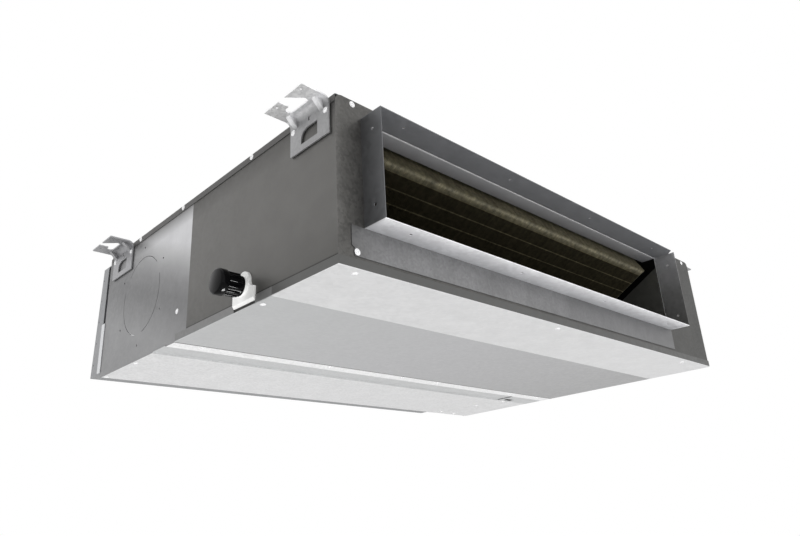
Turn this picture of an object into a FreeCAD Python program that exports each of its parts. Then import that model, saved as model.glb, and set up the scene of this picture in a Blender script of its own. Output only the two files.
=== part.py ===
# Ducted air conditioner: slim ceiling unit of galvanised sheet with two centrifugal blowers,
# a leaning finned coil, a drain pan and four hanger brackets.
# X runs across the width, Y from the air outlet (front, -Y) to the air inlet (rear, +Y), Z up.
# The origin is the centre of the casing's underside. Lengths are in millimetres.
import FreeCAD, Part
import math
import os
import Sketcher
from FreeCAD import Rotation, Vector

doc = FreeCAD.newDocument("DuctedAirConditioner")

# Driving dimensions
SIZES = {
    # casing
    "casing_width": 1140.0,
    "casing_depth": 780.0,
    "casing_height": 268.0,
    "sheet": 1.2,
    "top_lip": 14.0,
    "top_bend_radius": 4.0,
    "rim_height": 14.7,
    "face_corner_radius": 12.0,
    "front_band_depth": 155.0,
    "service_joint_depth": 456.0,
    "side_joint_depth": 418.0,
    "joint_gap": 1.0,
    "seat_gap": 0.3,
    # underside of the fan section
    "control_strip_width": 130.0,
    "swage_start": 34.0,
    "swage_width": 55.0,
    "swage_height": 2.0,
    "swage_slope": 1.5,
    "cable_slot_length": 31.0,
    "cable_slot_width": 16.0,
    "cable_slot_margin": 86.0,
    "cable_slot_depth": 522.0,
    # outlet duct flange
    "outlet_left_margin": 48.5,
    "outlet_right_margin": 173.5,
    "outlet_low": 63.9,
    "outlet_top_margin": 25.6,
    "outlet_projection": 42.8,
    "flange_lip": 10.0,
    "flange_hole_radius": 2.6,
    "flange_hole_setback": 23.0,
    "flange_end_hole": 66.1,
    "flange_side_hole": 28.4,
    "flange_corner_cut": 14.0,
    "strip_margin": 24.0,
    "strip_low": 19.0,
    "strip_step": 4.5,
    "strip_step_height": 12.0,
    "strip_step_slope": 3.0,
    "guide_plate_end": 37.0,
    # inlet duct flange and filter
    "inlet_low": 9.0,
    "inlet_top_margin": 16.0,
    "inlet_right_margin": 134.0,
    "inlet_top_projection": 49.0,
    "inlet_bottom_projection": 64.0,
    "inlet_lip": 6.0,
    "inlet_return": 12.0,
    "inlet_holes": 5,
    "inlet_end_hole": 27.0,
    "inlet_hole_setback": 7.0,
    "inlet_hole_radius": 1.8,
    "side_panel_overhang": 9.0,
    "filter_thickness": 11.0,
    "filter_clearance": 0.5,
    "filter_left_gap": 5.0,
    "filter_right_gap": 4.0,
    "filter_bar": 14.0,
    "filter_mullions": 3,
    "mesh_thickness": 1.6,
    "guide_sheet": 1.0,
    "guide_height": 9.0,
    "slot_clearance": 1.5,
    "pull_plate_height": 106.0,
    "pull_plate_sheet": 1.0,
    "pull_plate_lap": 2.0,
    # fresh-air knock-out
    "knockout_depth": 617.0,
    "knockout_radius": 79.5,
    "knockout_slit": 1.2,
    "knockout_arc": 96.0,
    "knockout_slits": 3,
    "fresh_air_holes": 6,
    "fresh_air_first_hole": 30.0,
    "fresh_air_pitch_circle": 204.0,
    "fresh_air_hole_radius": 2.0,
    # hanger brackets
    "bracket_width": 94.0,
    "bracket_sheet": 2.6,
    "bracket_reach": 50.0,
    "bracket_leg": 62.0,
    "bracket_drop": 0.6,
    "bracket_bend_radius": 13.0,
    "front_bracket_depth": 59.0,
    "rod_pitch": 659.0,
    "rod_slot_radius": 6.5,
    "rod_slot_length": 46.0,
    "rod_slot_reach": 25.0,
    "slot_mouth_rear": 10.5,
    "slot_mouth_front": 4.6,
    "slot_mouth_angle": 210.0,
    "gusset_size": 16.0,
    "gusset_width": 9.0,
    "gusset_spacing": 64.0,
    "window_width": 40.0,
    "window_height": 23.0,
    "window_corner_radius": 16.0,
    "window_rise": 11.0,
    "bend_slot_length": 7.0,
    "bend_slot_width": 2.6,
    "bracket_hole_radius": 1.7,
    "bracket_hole_inset": 6.6,
    "bracket_hole_front": 11.0,
    "bracket_hole_rear": 24.0,
    "bracket_screw_spacing": 79.0,
    "bracket_screw_drop": 22.0,
    # coil
    "coil_corner_depth": 24.0,
    "coil_top_gap": 11.4,
    "coil_pan_gap": 2.4,
    "coil_inset": 3.0,
    "coil_rows": 12,
    "tube_pitch": 25.4,
    "coil_thickness": 44.0,
    "fin_proud": 1.2,
    "fin_sheet": 1.0,
    "fin_count": 60,
    "tube_radius": 4.76,
    "coil_left_margin": 34.0,
    "coil_right_gap": 6.0,
    "header_radius": 9.5,
    "header_offset": 34.0,
    "header_start": 30.0,
    "header_length": 250.0,
    "header_stubs": 4,
    # drain
    "pan_front": 20.0,
    "pan_depth": 330.0,
    "pan_height": 58.0,
    "pan_wall": 12.0,
    "pan_floor": 19.0,
    "pan_margin": 9.0,
    "drain_depth": 229.5,
    "drain_height": 35.0,
    "spigot_radius": 13.0,
    "spigot_bore": 10.0,
    "spigot_length": 46.0,
    "spigot_hub_radius": 16.4,
    "spigot_hub_length": 5.5,
    "drain_plate_width": 60.0,
    "drain_plate_low": 6.6,
    "drain_plate_proud": 3.0,
    "drain_plate_slope": 4.6,
    "drain_arch_radius": 17.0,
    "drain_arch_height": 43.0,
    "drain_flare": 13.0,
    "plug_start": 9.0,
    "plug_wall": 3.1,
    "plug_length": 42.0,
    "plug_head_radius": 20.7,
    "plug_head_length": 17.4,
    "plug_ribs": 12,
    "plug_rib": 1.2,
    "plug_rib_width": 3.0,
    "running_gap": 0.3,
    # fan section
    "fan_depth": 620.0,
    "fan_floor_gap": 25.5,
    "fan_top_gap": 14.3,
    "fan_offset": -65.0,
    "blower_pitch": 470.0,
    "wheel_clearance": 13.0,
    "wheel_width": 186.0,
    "wheel_ring": 5.0,
    "wheel_disc": 3.0,
    "blade_depth": 16.0,
    "blade_sheet": 1.6,
    "blade_count": 30,
    "blade_curve": 17.6,
    "blade_sweep": 10.0,
    "hub_radius": 17.0,
    "hub_length": 34.0,
    "shaft_radius": 6.0,
    "shaft_end": 6.0,
    "bearing_clearance": 0.05,
    "scroll_width": 212.0,
    "scroll_sheet": 1.6,
    "tongue_height": 43.0,
    "scroll_step": 11.0,
    "scroll_inlet_step": 2.0,
    "bellmouth_height": 7.0,
    "motor_radius": 60.0,
    "motor_length": 112.0,
    "motor_bell": 12.0,
    "motor_bell_radius": 40.0,
    "bearing_radius": 16.0,
    "bearing_length": 12.0,
    "rotor_radius": 34.0,
    "rotor_length": 70.0,
    "air_gap": 0.6,
    "strap_sheet": 1.5,
    "strap_width": 16.0,
    "strap_pitch": 70.0,
    "strap_foot": 14.0,
    "motor_plate_sheet": 2.0,
    "motor_plate_reach": 82.0,
    "motor_plate_lip": 40.0,
    "motor_plate_edge": 8.0,
    # refrigerant pipes and controls
    "gas_pipe_radius": 7.94,
    "liquid_pipe_radius": 4.76,
    "pipe_wall": 1.0,
    "pipe_reach": 10.0,
    "union_length": 16.0,
    "nut_length": 28.0,
    "nut_wall": 3.2,
    "nut_bore_clearance": 0.1,
    "nut_mouth": 10.0,
    "union_wall": 2.3,
    "gas_pipe_row": 110.0,
    "liquid_pipe_row": 206.2,
    "pipe_plate_margin": 24.0,
    "pipe_plate_lap": 12.0,
    "control_start": 480.0,
    "control_end": 756.0,
    "control_low": 32.0,
    "control_top_margin": 40.0,
    "control_reach": 92.0,
    "control_lap": 10.0,
    "board_inset": 20.0,
    "board_length": 150.0,
    "board_standoff": 8.0,
    "standoff_radius": 3.5,
    "board_sheet": 1.6,
    "terminal_width": 30.0,
    "terminal_length": 120.0,
    "terminal_height": 16.0,
    "terminal_rib": 3.0,
    "terminal_ways": 6,
    "capacitor_radius": 17.0,
    "capacitor_length": 60.0,
    "insulation": 8.0,
    "insulation_inset": 6.0,
    # screws
    "screw_head_radius": 4.2,
    "screw_head": 1.8,
    "screw_shank_radius": 1.8,
    "screw_length": 5.0,
    "bolt_head_radius": 5.6,
    "bolt_head": 3.0,
    "bolt_shank_radius": 2.4,
    "front_screw_row": 14.0,
    "service_screw_row": 9.0,
    "edge_screw_row": 8.0,
    "side_screw_height": 56.6,
    "rim_screw_height": 25.0,
    "rim_screw_margin": 33.0,
}

sheet_of_sizes = doc.addObject("Spreadsheet::Sheet", "Sizes")
for row, (alias, number) in enumerate(SIZES.items(), start=1):
    sheet_of_sizes.set(f"A{row}", alias)
    sheet_of_sizes.set(f"B{row}", str(number))
    sheet_of_sizes.setAlias(f"B{row}", alias)
doc.recompute()


class Size:
    """A number that keeps the formula it came from, so that objects can be bound to it."""

    def __init__(self, formula, number):
        self.formula = formula
        self.number = number

    @staticmethod
    def of(other):
        return other if isinstance(other, Size) else Size(f"{other:g}", float(other))

    def __add__(self, other):
        other = Size.of(other)
        return Size(f"({self.formula} + {other.formula})", self.number + other.number)

    def __sub__(self, other):
        other = Size.of(other)
        return Size(f"({self.formula} - {other.formula})", self.number - other.number)

    def __mul__(self, other):
        other = Size.of(other)
        return Size(f"({self.formula} * {other.formula})", self.number * other.number)

    def __truediv__(self, other):
        other = Size.of(other)
        return Size(f"({self.formula} / {other.formula})", self.number / other.number)

    def __neg__(self):
        return Size(f"(0 - {self.formula})", -self.number)

    def __radd__(self, other):
        return Size.of(other) + self

    def __rsub__(self, other):
        return Size.of(other) - self

    def __rmul__(self, other):
        return Size.of(other) * self


class Sheet:
    """Gives each cell of the spreadsheet as a Size, by its alias."""

    def __getattr__(self, alias):
        return Size(f"Sizes.{alias}", SIZES[alias])


S = Sheet()
ZERO = Size("0", 0.0)


def cosine(angle):
    return Size(f"cos({angle.formula} * 1 deg)", math.cos(math.radians(angle.number)))


def sine(angle):
    return Size(f"sin({angle.formula} * 1 deg)", math.sin(math.radians(angle.number)))


def root(size):
    return Size(f"sqrt({size.formula})", math.sqrt(size.number))


def arc_sine(share):
    return Size(f"(asin({share.formula}) / 1 deg)", math.degrees(math.asin(share.number)))


def arc_tangent(share):
    return Size(f"(atan({share.formula}) / 1 deg)", math.degrees(math.atan(share.number)))


def bind(obj, prop, size):
    obj.setExpression(prop, Size.of(size).formula)


def move(obj, x, y, z):
    for axis, size in zip("xyz", (x, y, z)):
        bind(obj, f"Placement.Base.{axis}", size)


# Building blocks
sub_parts = []
ALONG_X = Rotation(Vector(0, 1, 0), 90)
ALONG_Y = Rotation(Vector(1, 0, 0), -90)
ALONG_Z = Rotation()
AXIS_TURN = {"X": ALONG_X, "Y": ALONG_Y, "Z": ALONG_Z}
PLANE_ACROSS = {"X": "YZ_Plane", "Y": "XZ_Plane", "Z": "XY_Plane"}


def sub_part(label, obj):
    """Registers a finished piece under the name of its file."""
    obj.Label = label
    sub_parts.append(obj)
    return obj


def box(name, x, y, z):
    """A block between two places along each axis."""
    block = doc.addObject("Part::Box", name)
    for prop, (low, high) in zip(("Length", "Width", "Height"), (x, y, z)):
        bind(block, prop, high - low)
    move(block, x[0], y[0], z[0])
    return block


def rod(name, axis, foot, radius, length):
    """A cylinder that starts at a foot point and runs along an axis."""
    cylinder = doc.addObject("Part::Cylinder", name)
    bind(cylinder, "Radius", radius)
    bind(cylinder, "Height", length)
    cylinder.Placement = FreeCAD.Placement(Vector(), AXIS_TURN[axis])
    move(cylinder, *foot)
    return cylinder


def hexagon(name, axis, foot, radius, length):
    prism = doc.addObject("Part::Prism", name)
    prism.Polygon = 6
    bind(prism, "Circumradius", radius)
    bind(prism, "Height", length)
    prism.Placement = FreeCAD.Placement(Vector(), AXIS_TURN[axis])
    move(prism, *foot)
    return prism


def fuse(name, *pieces):
    union = doc.addObject("Part::MultiFuse", name)
    union.Shapes = list(pieces)
    union.Refine = True
    return union


def gather(name, *pieces):
    group = doc.addObject("Part::Compound", name)
    group.Links = list(pieces)
    return group


def cut(name, base, *tools):
    difference = doc.addObject("Part::Cut", name)
    difference.Base = base
    difference.Tool = tools[0] if len(tools) == 1 else gather(f"{name}_tools", *tools)
    return difference


def plane_of(body, role):
    return next(f for f in body.Origin.OriginFeatures if f.Role == role)


def sketch_across(body, axis, place=ZERO):
    """A sketch square to an axis, at a place along it. Its own axes are YZ, XZ or XY."""
    sketch = body.newObject("Sketcher::SketchObject", f"{body.Name}_sketch")
    sketch.AttachmentSupport = [(plane_of(body, PLANE_ACROSS[axis]), "")]
    sketch.MapMode = "FlatFace"
    bind(sketch, "AttachmentOffset.Base.z", -place if axis == "Y" else place)
    return sketch


def hold(sketch, geometry, point, place):
    """Ties one point of a sketch to its two distances from the origin."""
    for kind, size in zip(("DistanceX", "DistanceY"), place):
        size = Size.of(size)
        index = sketch.addConstraint(
            Sketcher.Constraint(kind, -1, 1, geometry, point, size.number)
        )
        bind(sketch, f"Constraints[{index}]", size)


class Bend:
    """A round stretch of an outline: its radius, its end, and the side its centre lies on."""

    def __init__(self, radius, end, side):
        self.radius = Size.of(radius)
        self.end = end
        self.side = side


def number_pair(place):
    return Vector(Size.of(place[0]).number, Size.of(place[1]).number, 0)


def arc_between(start, end, radius, side):
    """The anticlockwise arc whose centre lies on the left (+1) or right (-1) of the way."""
    chord = end - start
    half = chord.Length / 2
    across = Vector(-chord.y, chord.x, 0).normalize() * side
    rise = math.sqrt(max(radius**2 - half**2, 0.0))
    centre = start + chord * 0.5 + across * rise
    middle = centre - across * radius
    return Part.Arc(start, middle, end) if side > 0 else Part.Arc(end, middle, start)


def outline(sketch, *steps):
    """A closed outline through its corners. A step is a corner, or a Bend that ends at one."""
    first = sketch.GeometryCount
    corners = [step.end if isinstance(step, Bend) else step for step in steps]
    count = len(steps)
    starts = []
    for index, step in enumerate(steps):
        start = number_pair(corners[index - 1])
        end = number_pair(corners[index])
        if isinstance(step, Bend):
            arc = arc_between(start, end, step.radius.number, step.side)
            geometry = sketch.addGeometry(arc, False)
            starts.append((1, 2) if step.side > 0 else (2, 1))
            radius = sketch.addConstraint(
                Sketcher.Constraint("Radius", geometry, step.radius.number)
            )
            bind(sketch, f"Constraints[{radius}]", step.radius)
        else:
            sketch.addGeometry(Part.LineSegment(start, end), False)
            starts.append((1, 2))
    for index in range(count):
        after = (index + 1) % count
        sketch.addConstraint(
            Sketcher.Constraint(
                "Coincident", first + index, starts[index][1], first + after, starts[after][0]
            )
        )
        hold(sketch, first + index, starts[index][1], corners[index])


def circle(sketch, centre, radius):
    round_edge = Part.Circle(number_pair(centre), Vector(0, 0, 1), Size.of(radius).number)
    geometry = sketch.addGeometry(round_edge, False)
    hold(sketch, geometry, 3, centre)
    index = sketch.addConstraint(
        Sketcher.Constraint("Radius", geometry, Size.of(radius).number)
    )
    bind(sketch, f"Constraints[{index}]", radius)


def rectangle(sketch, u, v):
    outline(sketch, (u[0], v[0]), (u[1], v[0]), (u[1], v[1]), (u[0], v[1]))


def pad(sketch, axis, length, middle=False):
    """Thickens a sketch towards the positive side of its axis, or to both sides."""
    body = sketch.getParentGeoFeatureGroup()
    feature = body.newObject("PartDesign::Pad", f"{body.Name}_pad")
    feature.Profile = sketch
    bind(feature, "Length", length)
    feature.Midplane = middle
    feature.Reversed = axis == "Y" and not middle
    return feature


def pocket(sketch, axis, length=None, middle=False, backwards=False):
    """Cuts a sketch's outline out: right through both ways, or to a depth along its axis."""
    body = sketch.getParentGeoFeatureGroup()
    feature = body.newObject("PartDesign::Pocket", f"{body.Name}_pocket")
    feature.Profile = sketch
    if length is None:
        feature.Type = "ThroughAll"
        feature.Midplane = True
    else:
        bind(feature, "Length", length)
        feature.Midplane = middle
        feature.Reversed = (axis != "Y") != backwards and not middle
    return feature


def new_body(label):
    return sub_part(label, doc.addObject("PartDesign::Body", label))


def section_body(name, axis, span, draw):
    """A body of one constant section along an axis. draw adds the outlines to its sketch."""
    body = doc.addObject("PartDesign::Body", name)
    sketch = sketch_across(body, axis, span[0])
    draw(sketch)
    pad(sketch, axis, span[1] - span[0])
    return body


def extrusion(label, axis, span, draw):
    return sub_part(label, section_body(label, axis, span, draw))


def turned_body(name, centre, *profile):
    """A body turned about an axis along X through a centre (y, z). A profile has (x, radius)."""
    body = doc.addObject("PartDesign::Body", name)
    sketch = sketch_across(body, "Y")
    outline(sketch, *profile)
    turn = body.newObject("PartDesign::Revolution", f"{name}_turn")
    turn.Profile = sketch
    turn.ReferenceAxis = (sketch, ["H_Axis"])
    turn.Angle = 360
    move(body, ZERO, *centre)
    return body


def turned(label, centre, *profile):
    return sub_part(label, turned_body(label, centre, *profile))


def ring_of(body, feature, axis, count):
    """Repeats a feature of a body evenly round an axis."""
    pattern = body.newObject("PartDesign::PolarPattern", f"{feature.Name}_ring")
    pattern.Originals = [feature]
    pattern.Axis = axis
    pattern.Angle = 360
    bind(pattern, "Occurrences", count)
    body.Tip = pattern


def row_of(body, feature, axis, length, count):
    """Repeats a feature of a body evenly along an axis of the body."""
    pattern = body.newObject("PartDesign::LinearPattern", f"{feature.Name}_row")
    pattern.Originals = [feature]
    pattern.Direction = (plane_of(body, axis), [""])
    bind(pattern, "Length", length)
    bind(pattern, "Occurrences", count)
    body.Tip = pattern


def on_circle(centre, radius, angle):
    return (centre[0] + radius * cosine(angle), centre[1] + radius * sine(angle))


# Places shared by several pieces
t = S.sheet
left = -S.casing_width / 2
right = S.casing_width / 2
front = -S.casing_depth / 2
rear = S.casing_depth / 2
top = S.casing_height
skin_left = left + t
skin_right = right - t
inner_left = left + 2 * t
inner_right = right - 2 * t
face = front + t
face_back = front + 2 * t
ceiling = top - t
side_top = top - S.top_bend_radius
panel_right = right - S.control_strip_width
outlet_left = left + S.outlet_left_margin
outlet_right = right - S.outlet_right_margin
outlet_front = front - S.outlet_projection
side_joint = front + S.side_joint_depth
service_joint = front + S.service_joint_depth
band_joint = front + S.front_band_depth
coil_wall = outlet_right
deck = service_joint - 5 * t
inlet_left = inner_left
inlet_right = right - S.inlet_right_margin
filter_front = rear + S.side_panel_overhang + S.slot_clearance
filter_rear = filter_front + S.filter_thickness
filter_left = left + S.filter_left_gap
filter_right = inlet_right - t - S.filter_right_gap
bracket_level = top - S.bracket_drop - S.bracket_sheet
pan_front = front + S.pan_front
pan_rear = pan_front + S.pan_depth
drain_axis = (front + S.drain_depth, S.drain_height)

# What the casing's height leaves room for: the two mouths, the coil's lean and the blowers
outlet_high = top - S.outlet_top_margin
inlet_high = top - S.inlet_top_margin
control_high = top - S.control_top_margin
knockout_height = (t + side_top) / 2
slab_length = S.coil_rows * S.tube_pitch + 2 * S.coil_inset
slab_depth = S.coil_thickness + 2 * S.coil_inset
slab_diagonal = root(slab_length * slab_length + slab_depth * slab_depth)
coil_low = S.pan_height + S.coil_pan_gap
coil_rise = top - S.coil_top_gap - coil_low
coil_lean = arc_sine(coil_rise / slab_diagonal) - arc_tangent(slab_depth / slab_length)
coil_corner_height = coil_low + slab_length * sine(coil_lean)
scroll_rise = ceiling - S.fan_top_gap - S.fan_floor_gap
scroll_radius = (scroll_rise - 3 * S.scroll_step) / 2
fan_height = S.fan_floor_gap + scroll_radius + S.scroll_step / 2
wheel_radius = scroll_radius - S.wheel_clearance
scroll_inlet = wheel_radius - S.blade_depth + S.scroll_inlet_step
fan_axis = (front + S.fan_depth, fan_height)


# Casing
def make_top_panel():
    """Top sheet with its two long edges bent down over the side panels."""
    outer = S.top_bend_radius
    inner = S.top_bend_radius - t
    low = top - S.top_lip

    def draw(sketch):
        outline(
            sketch,
            (left, low),
            (skin_left, low),
            (skin_left, ceiling - inner),
            Bend(inner, (skin_left + inner, ceiling), -1),
            (skin_right - inner, ceiling),
            Bend(inner, (skin_right, ceiling - inner), -1),
            (skin_right, low),
            (right, low),
            (right, top - outer),
            Bend(outer, (right - outer, top), 1),
            (left + outer, top),
            Bend(outer, (left, top - outer), 1),
        )

    extrusion("top_panel", "Y", (face_back, rear), draw)


def make_front_panel():
    """Front sheet with rounded top corners and the opening for the outlet flange."""
    radius = S.face_corner_radius

    def draw(sketch):
        outline(
            sketch,
            (skin_left, t),
            (skin_right, t),
            (skin_right, top - radius),
            Bend(radius, (skin_right - radius, top), 1),
            (skin_left + radius, top),
            Bend(radius, (skin_left, top - radius), 1),
        )
        rectangle(sketch, (outlet_left, outlet_right), (S.outlet_low, outlet_high))

    extrusion("front_panel", "Y", (face, face_back), draw)


def make_lower_front_strip():
    """Strip that closes the joint under the outlet, stepped at its lower left corner."""
    start = left + S.strip_margin
    step = S.strip_low + S.strip_step_height

    def draw(sketch):
        outline(
            sketch,
            (start + S.strip_step, S.strip_low),
            (outlet_right, S.strip_low),
            (outlet_right, S.outlet_low),
            (start, S.outlet_low),
            (start, step + S.strip_step_slope),
            (start + S.strip_step, step),
        )

    extrusion("lower_front_strip", "Y", (front, face), draw)


def make_bottom_front_panel():
    """Bottom sheet of the coil section, front band, with a rim on its front and two sides."""
    rim = (t, S.rim_height)
    panel = fuse(
        "bottom_front_panel",
        box("front_band", (left, right), (front, band_joint), (ZERO, t)),
        box("front_rim", (left, right), (front, face), rim),
        box("front_rim_left", (left, skin_left), (face, band_joint), rim),
        box("front_rim_right", (skin_right, right), (face, band_joint), rim),
    )
    sub_part("bottom_front_panel", panel)


def make_drain_pan_cover():
    """Bottom sheet under the drain pan. Its left rim is notched for the drain outlet plate."""
    back = service_joint - S.joint_gap
    rim = (t, S.rim_height)
    half_notch = S.drain_plate_width / 2 + S.seat_gap
    drain = front + S.drain_depth
    panel = fuse(
        "drain_pan_cover",
        box("cover_sheet", (left, right), (band_joint, back), (ZERO, t)),
        box("cover_rim_left_a", (left, skin_left), (band_joint, drain - half_notch), rim),
        box("cover_rim_left_b", (left, skin_left), (drain + half_notch, back), rim),
        box("cover_rim_right", (skin_right, right), (band_joint, back), rim),
    )
    sub_part("drain_pan_cover", panel)


def make_fan_access_panel():
    """Service sheet under the blowers, stiffened by a swage along its front edge."""
    start = service_joint + S.swage_start
    end = start + S.swage_width
    lift = S.swage_height
    slope = S.swage_slope

    def draw(sketch):
        outline(
            sketch,
            (service_joint, ZERO),
            (start, ZERO),
            (start + slope, lift),
            (end - slope, lift),
            (end, ZERO),
            (rear, ZERO),
            (rear, t),
            (end, t),
            (end - slope, lift + t),
            (start + slope, lift + t),
            (start, t),
            (service_joint, t),
        )

    extrusion("fan_access_panel", "X", (left, panel_right), draw)


def make_bottom_right_strip():
    """Fixed bottom sheet under the controls, with a slot for the cables."""
    start = panel_right + S.joint_gap
    slot_start = front + S.cable_slot_depth
    slot_right = right - S.cable_slot_margin

    def draw(sketch):
        rectangle(sketch, (start, right), (service_joint, rear))
        rectangle(
            sketch,
            (slot_right - S.cable_slot_length, slot_right),
            (slot_start, slot_start + S.cable_slot_width),
        )

    extrusion("bottom_right_strip", "Z", (ZERO, t), draw)


def make_side_panels():
    """Four side sheets: front and rear on each side, with their openings."""
    levels = (t, side_top)
    pipe_low, pipe_high, pipe_front, pipe_rear = pipe_plate_window()

    def draw_left(sketch):
        rectangle(sketch, (face_back, side_joint), levels)
        circle(sketch, drain_axis, S.spigot_radius + 2 * S.seat_gap)

    def draw_right(sketch):
        rectangle(sketch, (face_back, side_joint), levels)
        rectangle(sketch, (pipe_front, pipe_rear), (pipe_low, pipe_high))

    def draw_right_rear(sketch):
        rectangle(sketch, (side_joint, rear + S.side_panel_overhang), levels)
        inset = 2 * t
        rectangle(
            sketch,
            (front + S.control_start + inset, front + S.control_end - inset),
            (S.control_low + inset, control_high - inset),
        )

    extrusion("left_side_panel", "X", (skin_left, inner_left), draw_left)
    extrusion("right_side_panel", "X", (inner_right, skin_right), draw_right)
    make_left_rear_panel()
    extrusion("right_rear_panel", "X", (inner_right, skin_right), draw_right_rear)


def make_left_rear_panel():
    """Left rear sheet: knock-out slits and the screw holes of a fresh-air collar.

    Its lower edge is relieved where the swage of the service sheet passes under it.
    """

    def draw(sketch):
        swage_start = service_joint + S.swage_start - S.seat_gap
        swage_end = swage_start + S.swage_width + 2 * S.seat_gap
        relief = t + S.swage_height + S.seat_gap
        end = rear + S.side_panel_overhang
        outline(
            sketch,
            (side_joint, t),
            (swage_start, t),
            (swage_start, relief),
            (swage_end, relief),
            (swage_end, t),
            (end, t),
            (end, side_top),
            (side_joint, side_top),
        )

    def draw_slit(sketch):
        inner = S.knockout_radius - S.knockout_slit / 2
        outer = S.knockout_radius + S.knockout_slit / 2
        start = (180 - S.knockout_arc) / 2
        end = (180 + S.knockout_arc) / 2
        outline(
            sketch,
            on_circle((ZERO, ZERO), outer, start),
            Bend(outer, on_circle((ZERO, ZERO), outer, end), 1),
            on_circle((ZERO, ZERO), inner, end),
            Bend(inner, on_circle((ZERO, ZERO), inner, start), -1),
        )

    def draw_hole(sketch):
        place = on_circle((ZERO, ZERO), S.fresh_air_pitch_circle / 2, S.fresh_air_first_hole)
        circle(sketch, place, S.fresh_air_hole_radius)

    body = extrusion("left_rear_panel", "X", (skin_left, inner_left), draw)
    for count, draw_one in ((S.knockout_slits, draw_slit), (S.fresh_air_holes, draw_hole)):
        sketch = sketch_across(body, "X", skin_left)
        bind(sketch, "AttachmentOffset.Base.x", front + S.knockout_depth)
        bind(sketch, "AttachmentOffset.Base.y", knockout_height)
        draw_one(sketch)
        opening = pocket(sketch, "X")
        ring_of(body, opening, (sketch, ["N_Axis"]), count)


def make_rear_panel():
    """Rear sheet with the opening of the air inlet."""

    def draw(sketch):
        rectangle(sketch, (inner_left, inner_right), (t, side_top))
        margin = S.filter_bar / 2
        rectangle(
            sketch,
            (inlet_left + margin, inlet_right - margin),
            (S.inlet_low + margin, inlet_high - margin),
        )

    extrusion("rear_panel", "Y", (rear - t, rear), draw)


# Outlet flange: four folded strips whose lips lie behind the front sheet
def flange_holes(name, axis, count, start, pitch, level, length):
    """Screw holes in a row along a flange wall, with the drills' axis square to the wall."""
    setback = face - S.flange_hole_setback - t
    drills = []
    for index in range(count):
        place = start + index * pitch
        foot = (place, setback, level) if axis == "Z" else (level, setback, place)
        drills.append(rod(f"{name}_drill_{index}", axis, foot, S.flange_hole_radius, length))
    return drills


def long_flange(label, wall_out, wall_in, lip_end):
    """Top or bottom strip: wall_out is its outer face, wall_in its inner face."""

    def draw(sketch):
        outline(
            sketch,
            (outlet_front, wall_out),
            (outlet_front, wall_in),
            (face_back + t, wall_in),
            (face_back + t, lip_end),
            (face_back, lip_end),
            (face_back, wall_out),
        )

    body = section_body(f"{label}_fold", "X", (outlet_left, outlet_right), draw)
    pitch = (outlet_right - outlet_left - 2 * S.flange_end_hole) / 3
    start = outlet_left + S.flange_end_hole
    low = wall_in - 2 * t if wall_out.number > wall_in.number else wall_out - t
    return body, flange_holes(label, "Z", 4, start, pitch, low, 4 * t)


def make_outlet_flange():
    high, low = outlet_high, S.outlet_low
    body, drills = long_flange("outlet_flange_top", high, high - t, high + S.flange_lip)
    corner = rotated_square("flange_corner", outlet_right, outlet_front, high - 2 * t)
    sub_part("outlet_flange_top", cut("outlet_flange_top", body, corner, *drills))
    body, drills = long_flange("outlet_flange_bottom", low, low + t, low - S.flange_lip)
    sub_part("outlet_flange_bottom", cut("outlet_flange_bottom", body, *drills))
    make_short_flange("outlet_flange_left", outlet_left, outlet_left + t, -1)
    make_short_flange("outlet_flange_right", outlet_right, outlet_right - t, 1)


def rotated_square(name, x, y, z):
    """A block turned by 45 degrees about a corner, which cuts that corner off."""
    side = S.flange_corner_cut * math.sqrt(2)
    block = doc.addObject("Part::Box", name)
    for prop, size in (("Length", side), ("Width", side), ("Height", 4 * t)):
        bind(block, prop, size)
    block.Placement = FreeCAD.Placement(Vector(), Rotation(Vector(0, 0, 1), 45))
    move(block, x, y - S.flange_corner_cut, z)
    return block


def make_short_flange(label, wall_out, wall_in, side):
    """Left or right strip, between the two long ones. side points away from the opening."""
    lip_end = wall_out + side * S.flange_lip

    def draw(sketch):
        outline(
            sketch,
            (wall_out, outlet_front),
            (wall_in, outlet_front),
            (wall_in, face_back + t),
            (lip_end, face_back + t),
            (lip_end, face_back),
            (wall_out, face_back),
        )

    height = outlet_high - S.outlet_low
    body = section_body(f"{label}_fold", "Z", (S.outlet_low + t, outlet_high - t), draw)
    low = wall_in - 2 * t if side > 0 else wall_out - t
    start = S.outlet_low + S.flange_side_hole
    pitch = height - 2 * S.flange_side_hole
    drills = flange_holes(label, "X", 2, start, pitch, low, 4 * t)
    sub_part(label, cut(label, body, *drills))


def make_outlet_guide_plate():
    """Folded sheet that closes the gap between the outlet's top edge and the coil."""
    level = outlet_high
    end = front + S.guide_plate_end

    def draw(sketch):
        outline(
            sketch,
            (face_back + 2 * t, level - t),
            (end, level - t),
            (end, ceiling),
            (end - t, ceiling),
            (end - t, level),
            (face_back + 2 * t, level),
        )

    extrusion("outlet_guide_plate", "X", (outlet_left, outlet_right), draw)


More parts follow.
